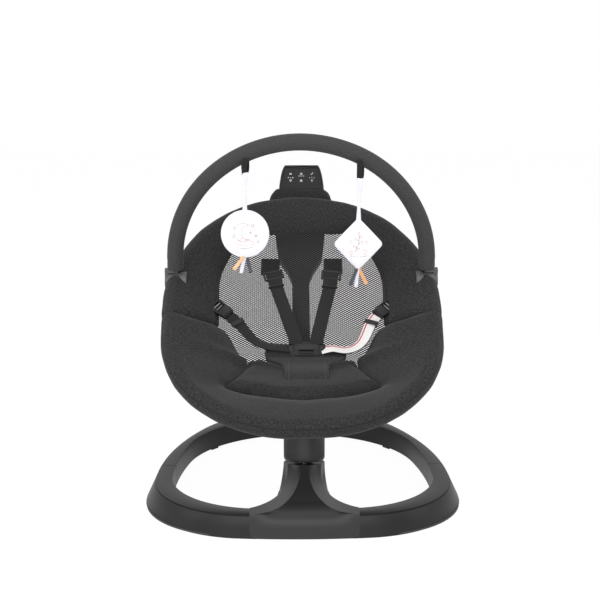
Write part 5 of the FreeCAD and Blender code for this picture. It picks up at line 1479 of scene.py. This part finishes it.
def make_round_toy():
    centre = (-104.0, 0.8, 472.2)
    outline = [(43.5 * math.cos(a), 43.5 * math.sin(a))
               for a in np.linspace(0, 2 * math.pi, 72, endpoint=False)]
    piece = pillow("toy_round", outline, 11.5, centre, "toy_left", "round_toy")
    moon = [ring_line(-3, 3, 17, 52, 308), ring_line(6.5, 3, 13.6, 77, 283)]
    brown = moon + outline_strokes(star(14, 16, 4.2, 10)) + outline_strokes(star(20, -3, 3.0))
    brown += outline_strokes(star(10, 3, 2.4, 20))
    drawn("toy_round_print_brown", piece, brown, 0.75, ink_brown, "toy_left", centre)
    cloud = [ring_line(-12, -16, 5, 20, 190), ring_line(-4, -13.5, 6, 10, 160),
             ring_line(5, -15, 5.5, -10, 150), ring_line(13, -17.5, 4, -20, 130),
             [(-17, -18.5), (-6, -20), (6, -20), (17, -19)]]
    drawn("toy_round_print_blush", piece, cloud, 1.1, ink_blush, "toy_left", centre)
    grey = [ring_line(-22, -4, 2.2), ring_line(24, -14, 1.8), ring_line(-20, 12, 1.5),
            [(-14, -25), (-5, -26.5), (4, -26.2), (13, -24.8)]]
    drawn("toy_round_print_grey", piece, grey, 0.7, ink_grey, "toy_left", centre)


def make_diamond_toy():
    centre = (103.5, 0.8, 452.5)
    corners = [(0, 48.5), (46, 0), (0, -48.5), (-46, 0)]
    outline = []
    for a, b in zip(corners, corners[1:] + corners[:1]):
        a, b = np.array(a), np.array(b)
        middle = (a + b) / 2 * 0.965
        for t in np.linspace(0, 1, 18, endpoint=False):
            line = a * (1 - t) ** 2 + middle * 2 * t * (1 - t) + b * t ** 2
            straight = a * (1 - t) + b * t
            p = straight * 0.75 + line * 0.25
            near = min(t, 1 - t) * 34
            pull = 0.07 * math.exp(-near * 0.75)
            outline.append(p * (1 - pull))
    piece = pillow("toy_diamond", outline, 11.0, centre, "toy_right", "diamond_toy")
    stem = [[(-6, -14), (-2, -4), (1, 6), (1.5, 16)]]
    leaves = []
    for x, z, angle, long in ((-3, -6, 150, 8), (0.5, 1, 30, 8.5), (0.2, 7, 150, 8),
                              (1.4, 12, 35, 7), (1.5, 16, 95, 7.5), (-4.6, -10, 20, 7.5)):
        c, s = math.cos(math.radians(angle)), math.sin(math.radians(angle))
        shape = [(0, 0), (long * 0.45, long * 0.24), (long, 0), (long * 0.45, -long * 0.24),
                 (0, 0)]
        leaves.append([(x + u * c - v * s, z + u * s + v * c) for u, v in shape])
    drawn("toy_diamond_print_brown", piece, stem + leaves, 0.75, ink_brown, "toy_right", centre)
    hearts = []
    for x, z, size in ((-13, -16, 3.6), (12, -14, 4.4), (-15, 5, 3.0), (15, 4, 2.8)):
        heart = [(x + size * 0.9 * math.sin(a) ** 3, z + size * 0.07 * (
            13 * math.cos(a) - 5 * math.cos(2 * a) - 2 * math.cos(3 * a) - math.cos(4 * a)))
            for a in np.linspace(0, 2 * math.pi, 17)]
        hearts.append(heart)
    drawn("toy_diamond_print_blush", piece, hearts, 1.0, ink_blush, "toy_right", centre)
    dashes = [[(x, -23.5 + abs(x) * 0.1), (x + 3.2, -23.5 + abs(x + 3.2) * 0.1)]
              for x in (-14, -8.5, -3, 2.5, 8, 12.5)]
    drawn("toy_diamond_print_grey", piece, dashes, 0.9, ink_grey, "toy_right", centre)


def hanging(name, path, half_width, material, slot, body, node=None, thick=0.5, turn=0.0):
    """A flat strip that faces forwards, along a path; turn swings its face, in degrees."""
    line = through(path, 8)
    ahead = unit(np.gradient(line, axis=0))
    turns = np.radians(spread(turn, len(line)))
    rows = []
    for p, t, half, angle in zip(line, ahead, spread(half_width, len(line)), turns):
        n = np.array([math.sin(angle), -math.cos(angle), 0])
        n = unit(n - t * (n @ t))
        section = np.array(rounded_box(half, thick, thick * 0.9, 2))
        rows.append(p + section[:, :1] * np.cross(n, t) + section[:, 1:] * n)
    piece = skin(name, rows, material, slot, body, 50)
    if node:
        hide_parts(node)


def make_hangings():
    """The bar's loops, the toys' straps and the short ribbons under each toy."""
    for name, side, x, high, low in (("left", -1, -103.0, 608, 581.5),
                                     ("right", 1, 105.5, 605, 570.5)):
        front = [(x - 2.2 * side, -17.5, high + 4), (x - 1.6, -13.5, high - 10),
                 (x - 1.4, -7.0, (high + low) / 2 - 4), (x - 1.0, -1.5, low)]
        hanging(f"bar_loop_front_{name}", front, 5.0, webbing, "webbing", "toy_bar",
                "toy_loops" if side < 0 else None, 0.9, -8 * side)
        rear = [(x + 3.4, 4.0, high + 2), (x + 3.6, 4.5, high - 12),
                (x + 3.2, 2.5, low + 8), (x + 1.0, 0.2, low)]
        hanging(f"bar_loop_rear_{name}", rear, 4.6, webbing, "webbing", "toy_bar", None, 0.9,
                24 * side)
    long_widths, short_widths = [6.2, 5.2, 3.6, 2.7, 3.2, 4.6], [5.0, 4.6, 3.0, 2.2]
    for name, body, node, widths, turn, points in (
            ("strap_left", "toy_left", "toy_strap_left", long_widths, 6,
             [(-101.5, -3.6, 585.5), (-102.2, -3.2, 577), (-103.6, -1.0, 562),
              (-103.9, 0.2, 545), (-103.9, 0.8, 530), (-104, 0.8, 514)]),
            ("strap_left_back", "toy_left", None, short_widths, -10,
             [(-101.5, 3.8, 585.5), (-102.4, 3.2, 576), (-104.2, 1.6, 563), (-104.0, 1.4, 552)]),
            ("strap_right", "toy_right", "toy_strap_right", long_widths, -6,
             [(105.6, -3.6, 574.5), (105.4, -3.2, 566), (104.4, -1.0, 552),
              (104.0, 0.2, 535), (103.8, 0.8, 515), (103.6, 0.8, 497)]),
            ("strap_right_back", "toy_right", None, short_widths, 10,
             [(105.6, 3.8, 574.5), (105.2, 3.2, 565), (104.2, 1.6, 553), (104.0, 1.4, 542)])):
        hanging(name, points, widths, ribbon_lilac, "ribbon", body, node, 0.5, turn)
    for name, body, node, material, points in (
            ("ribbon_peach", "toy_left", "toy_ribbons_left", ribbon_peach,
             [(-106.5, -0.6, 431), (-112, -1.2, 423), (-119, -1.4, 414), (-125.5, -1.2, 405)]),
            ("ribbon_lilac_left", "toy_left", None, ribbon_lilac,
             [(-104.5, 0.4, 431), (-107, 0.6, 421), (-110, 0.6, 409), (-112, 0.4, 399)]),
            ("ribbon_slate_left", "toy_left", None, ribbon_slate,
             [(-102, 1.4, 431), (-99.5, 1.8, 422), (-96.5, 2.2, 411), (-94, 1.6, 400)]),
            ("ribbon_slate_right", "toy_right", "toy_ribbons_right", ribbon_slate,
             [(101, -0.6, 407), (97, -1.2, 396), (92.5, -1.4, 385), (88.5, -1.2, 375.5)]),
            ("ribbon_lilac_right", "toy_right", None, ribbon_lilac,
             [(103, 0.4, 407), (102, 0.6, 395), (100.8, 0.6, 383), (99.9, 0.4, 372)]),
            ("ribbon_apricot", "toy_right", None, ribbon_orange,
             [(105, 1.4, 407), (109.5, 1.8, 397), (114.5, 2.2, 387), (119.3, 1.6, 377.5)])):
        hanging(name, points, 3.3, material, "ribbon", body, node, 0.35, [0, 14, -10, 8])


make_round_toy()
make_diamond_toy()
make_hangings()


# ---------------------------------------------------------------- centre buckle

def squarish(turn, power):
    """A point of a rounded square's outline that reaches one unit to each side."""
    c, s = math.cos(turn), math.sin(turn)
    fit = (abs(c) ** power + abs(s) ** power) ** (-1 / power)
    return c * fit, s * fit


def buckle_height(u, v):
    """The shell's dome over its plane, with a groove at each side and a rimmed well."""
    height = 4.6 - 2.6 * abs(u) ** 2.6 - 1.4 * abs(v) ** 3
    height -= 0.9 * math.exp(-((abs(u) - 0.74 - 0.05 * v * v) / 0.045) ** 2)
    well = ((u / 0.52) ** 4 + ((v - 0.02) / 0.52) ** 4) ** 0.25
    height += 0.8 * math.exp(-((well - 1.12) / 0.10) ** 2)
    return height - 1.0 * max(0.0, 1 - well ** 3)


def make_centre_buckle():
    """The harness buckle: a domed shell with arms at its sides and a well for the button."""
    middle_x, middle_d = 8.4, 33.2
    half_x, half_d = 35.5, 15.6
    stations = [(share, 0.0, None) for share in np.linspace(0.0, 0.9, 22)[1:]]
    # the edge is rounded over, then a wall goes down and turns in
    stations += [(0.95, 0.2, None), (0.985, 0.9, None), (1.0, 2.4, None), (1.0, 0.0, -4.2),
                 (0.97, 0.0, -4.8)]
    rows = []
    for share, drop, wall in stations:
        row = []
        for k in range(72):
            u, v = (share * c for c in squarish(2 * math.pi * k / 72, 3.4))
            # the shell narrows towards its foot
            x = middle_x + u * half_x * (1.0 + 0.05 * v)
            height = buckle_height(u, v) - drop if wall is None else wall
            row.append(on_back(x, middle_d + v * half_d, 10.0 + height))
        rows.append(row)
    shell = skin("centre_buckle", rows, buckle_acetal, "buckle_plastic", "seat", 45)
    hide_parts("harness_buckle")
    # a slim bar along the shell's foot, where the crotch strap goes in
    foot = on_back(middle_x, middle_d - half_d - 1.2, 8.6)
    slot_bar = block(foot, (1, 0, 0), TOWARD, 17.0, 1.2, 1.4, 0.7)
    build("centre_buckle_slot", *slot_bar, buckle_acetal, "buckle_plastic", "seat", None, 40)


def make_frame_saddle():
    """The saddle that holds the front bow: it stays up behind the seat's lip."""
    saddle = block((0, -266.0, 179.2), (1, 0, 0), (0, 1, 0), 26.0, 16.0, 3.7, 1.2)
    piece = build("frame_saddle", *saddle, shell_nylon, "shell_plastic", "seat", None, 40)
    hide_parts("front_saddle")


make_centre_buckle()
make_frame_saddle()


# ---------------------------------------------------------------- control head

# Heights of the head's foot, its panel's two edges and the start of its rounded top
HEAD_FOOT, PANEL_LOW, PANEL_HIGH, CROWN = 488, 515.9, 558.6, 556
# The head's half width at a few heights
HEAD_HALF = [(HEAD_FOOT, 48.0), (498, 47.4), (512, 46.0), (521.5, 45.0), (532, 43.5), (541, 42.0),
             (551, 39.4), (557, 37.2), (560.5, 35.2), (562.6, 33.0)]
# How far to the right the head stands, and the depths of its panel's face and its back
HEAD_X, HEAD_FRONT, HEAD_REAR = 3.6, 285.4, 307.5


def head_front(z):
    """How far forward the head's panel stands at a height: it leans back as it rises."""
    return HEAD_FRONT + (z - 512) * 0.045


def make_control_head():
    """The head's shell with a panel set in a thin border, and a bezel below the panel."""
    heights, halves = np.array(HEAD_HALF, float).T
    border = 3.4
    rows = []
    for z in np.concatenate([np.linspace(HEAD_FOOT, 514.2, 8), [514.6, 515.4, PANEL_LOW, 516.6],
                             np.linspace(518, CROWN, 18), [558.5, 560.2, 561.3, 562.0, 562.5]]):
        half = np.interp(z, heights, halves)
        # near the top both faces round over, and below the panel the bezel swells forward
        crown = max(0.0, (z - CROWN) / 6.5)
        near = head_front(z) + 1.3 * crown ** 3
        far = HEAD_REAR - 7.0 * max(0.0, (z - 535) / 28) ** 2 - 4.0 * crown ** 3
        far -= 0.55 * max(0.0, 515 - z)
        dent = 0.9 if PANEL_LOW <= z <= PANEL_HIGH else 0.0
        if z < 515:
            near -= 1.1 * (1 - ((514.6 - z) / 30) ** 2)
        edge = [(half - 0.8, near + 3.5), (half - 1.5, near + 1.6), (half - 2.6, near + 0.5),
                (half - border, near), (half - border - 0.7, near + dent * 0.3),
                (half - border - 1.0, near + dent)]
        inner = half - border - 1.0
        front = [(-x, y) for x, y in edge]
        front += [(x, near + dent) for x in np.linspace(-inner * 0.9, inner * 0.9, 15)]
        rear = [(half, near + 6.5), (half - 0.3, far - 6), (half - 3.5, far - 1.5),
                (half - 9, far)]
        outline = front + edge[::-1] + rear + [(0, far)] + [(-x, y) for x, y in rear[::-1]]
        rows.append([(x + HEAD_X, y, z - 2.6 * crown * (1 - min(1.0, abs(x) / 33.0) ** 2))
                     for x, y in outline])
    shell = skin("control_head", rows, head_abs, "panel_plastic", "seat", 40)
    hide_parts("control_head_front", "control_head_rear", "control_lens")
    return shell


def make_head_boot():
    """A soft boot of the seat's cloth gathered round the head's foot."""
    rows = []
    for z, half_x, half_y, y in ((513.5, 45.6, 11.5, 296.0), (513.2, 47.0, 12.6, 295.6),
                                 (511.5, 50.0, 14.5, 295), (508.5, 53.5, 16.5, 293.5),
                                 (504.5, 56.8, 18.5, 291), (499.5, 59.8, 20.0, 288),
                                 (493.5, 61.8, 21.5, 284.5), (486.0, 63.0, 22.0, 280),
                                 (480.0, 63.2, 22.0, 277)):
        row = []
        for k in range(64):
            turn = 2 * math.pi * k / 64
            u, v = squarish(turn, 3.2)
            gather = 0.5 * math.sin(turn * 23) + 0.4 * math.sin(turn * 14 + z * 0.2)
            x = u * (half_x + gather)
            droop = -1.6 * math.exp(-((x - 6) / 9) ** 2) * (v < 0)
            row.append((x + 1.2, y + v * (half_y + gather),
                        z + droop + 0.5 * math.sin(turn * 9)))
        rows.append(row)
    # the boot's cloth carries painted shade: it is painted darker than the seat's
    boot = skin("head_boot", cloudy(rows, 16.0, 1.5, 4.0), boot_cloth_painted_shade, "charcoal_fabric", "seat")
    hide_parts("head_collar")


def make_control_marks(shell):
    """Plain generic marks of a control panel: small bars, rings and an arch."""
    bars = [(-18.4, 546, 4.6, 2.8), (3.3, 544.6, 4.6, 0.9), (3.3, 546.2, 2.4, 0.8)]
    bars += [(x, 541.6, 2.4, 1.5) for x in (-1.2, 3.3, 7.8)]
    bars += [(-22.8, 538.6, 2.6, 1.8), (-18.4, 538.0, 0.9, 2.2), (-14.0, 538.2, 2.6, 1.8)]
    bars += [(x, 538.4, 1.0, 2.6) for x in (20.2, 24.6, 29.2)]
    bars += [(-18.4, 534.2, 4.6, 1.0), (3.0, 532.2, 2.0, 1.6), (24.8, 533.8, 5.2, 0.9),
             (24.8, 531.4, 1.5, 3.4)]
    strokes = [([(x - wide / 2, z), (x + wide / 2, z)], tall) for x, z, wide, tall in bars]
    strokes += [(ring_line(3.3, 545.2, 2.2, 0, 180), 1.0), ([(22.6, 544.0), (25.6, 547.2)], 1.2),
                (ring_line(26.0, 547.4, 0.9), 1.0), (ring_line(-18.4, 532.6, 1.6), 1.5),
                (ring_line(3.0, 532.2, 2.2, 0, 360, 0.8), 1.2)]
    lines = []
    for stroke, width in strokes:
        line = np.array([(x, HEAD_FRONT, z) for x, z in stroke])
        lines.append((line if len(line) > 2 else np.linspace(line[0], line[1], 3), width))
    printed("control_marks", shell, lines, mark_ink, "panel_plastic", "seat", 0.25)


make_control_marks(make_control_head())
make_head_boot()


# ---------------------------------------------------------------- floor, lights and camera

def seen_directly(tree):
    """1 for rays that come from the camera, a reflection or a clear part, else 0."""
    path = add(tree, "ShaderNodeLightPath", {}, {})
    seen = path.outputs["Is Camera Ray"]
    for kind in ("Is Glossy Ray", "Is Transmission Ray"):
        seen = add(tree, "ShaderNodeMath", {"operation": "MAXIMUM"}, {
            0: seen, 1: path.outputs[kind]}).outputs["Value"]
    return seen


def make_floor():
    """A pale seamless floor: it shows white where nothing shades it and keeps a soft shadow."""
    material, tree, shader = start("Paper, white, seamless", 0.9)
    place = add(tree, "ShaderNodeTexCoord", {}, {}).outputs["Object"]
    grain = add(tree, "ShaderNodeTexNoise", {}, {"Vector": place, "Scale": 8.0, "Detail": 2.0})
    mixed = add(tree, "ShaderNodeMix", {"data_type": "RGBA"}, {
        0: grain.outputs["Fac"], 6: colour("#f4f4f4"), 7: colour("#f8f8f8")})
    tree.links.new(mixed.outputs[2], shader.inputs["Base Color"])
    glow = add(tree, "ShaderNodeEmission", {}, {"Color": colour("#ffffff"), "Strength": 1.04})
    share = add(tree, "ShaderNodeMath", {"operation": "MULTIPLY"}, {
        0: seen_directly(tree), 1: FLOOR_GLOW})
    both = add(tree, "ShaderNodeMixShader", {}, {
        0: share.outputs["Value"], 1: shader.outputs["BSDF"], 2: glow.outputs["Emission"]})
    tree.links.new(both.outputs["Shader"],
                   tree.nodes["Material Output"].inputs["Surface"])
    data = bpy.data.meshes.new("floor")
    data.from_pydata([(-6, -5, 0), (6, -5, 0), (6, 6, 0), (-6, 6, 0)], [], [(0, 1, 2, 3)])
    data.materials.append(material)
    floor = bpy.data.objects.new("floor", data)
    bpy.context.scene.collection.objects.link(floor)


def make_world():
    """An even white surround that lights less than it shows."""
    world = bpy.data.worlds.new("studio")
    bpy.context.scene.world = world
    world.use_nodes = True
    tree = world.node_tree
    level = add(tree, "ShaderNodeMapRange", {}, {"Value": seen_directly(tree),
                                                 "To Min": AMBIENT, "To Max": 1.0})
    back = tree.nodes["Background"]
    back.inputs["Color"].default_value = colour("#ffffff")
    tree.links.new(level.outputs["Result"], back.inputs["Strength"])


def lamp(name, place, toward, size, power):
    """A softbox: its size in metres and its power in watts."""
    data = bpy.data.lights.new(name, "AREA")
    data.shape = "RECTANGLE"
    data.size, data.size_y = size
    data.energy = power
    item = bpy.data.objects.new(name, data)
    item.location = place
    item.rotation_euler = (Vector(toward) - Vector(place)).to_track_quat("-Z", "Y").to_euler()
    bpy.context.scene.collection.objects.link(item)


def make_camera():
    """A long lens in front and a little above, slightly shifted."""
    data = bpy.data.cameras.new("camera")
    data.lens = 81.174
    data.sensor_width = 36.0
    data.shift_x, data.shift_y = -0.0032, -0.0107
    camera = bpy.data.objects.new("camera", data)
    camera.location = (-0.0384, -2.4429, 0.8893)
    ahead = Vector((0, 0, 0.36)) - camera.location
    camera.rotation_euler = ahead.to_track_quat("-Z", "Y").to_euler()
    bpy.context.scene.collection.objects.link(camera)
    bpy.context.scene.camera = camera


# How much the surround lights, and how much of the floor's own white is seen directly
AMBIENT, FLOOR_GLOW = 0.45, 0.92
make_floor()
make_world()
lamp("softbox_above", (0.0, -0.3, 2.3), (0, 0, 0.2), (1.8, 1.4), 17)
lamp("softbox_front", (-0.4, -3.0, 1.35), (0, 0, 0.35), (3.6, 2.4), 72)
lamp("softbox_left", (-2.0, -0.9, 0.9), (0, 0, 0.25), (0.5, 1.4), 8)
lamp("softbox_right", (2.0, -0.7, 0.9), (0, 0, 0.25), (0.5, 1.4), 6)
make_camera()
bpy.context.scene.view_settings.view_transform = "Standard"
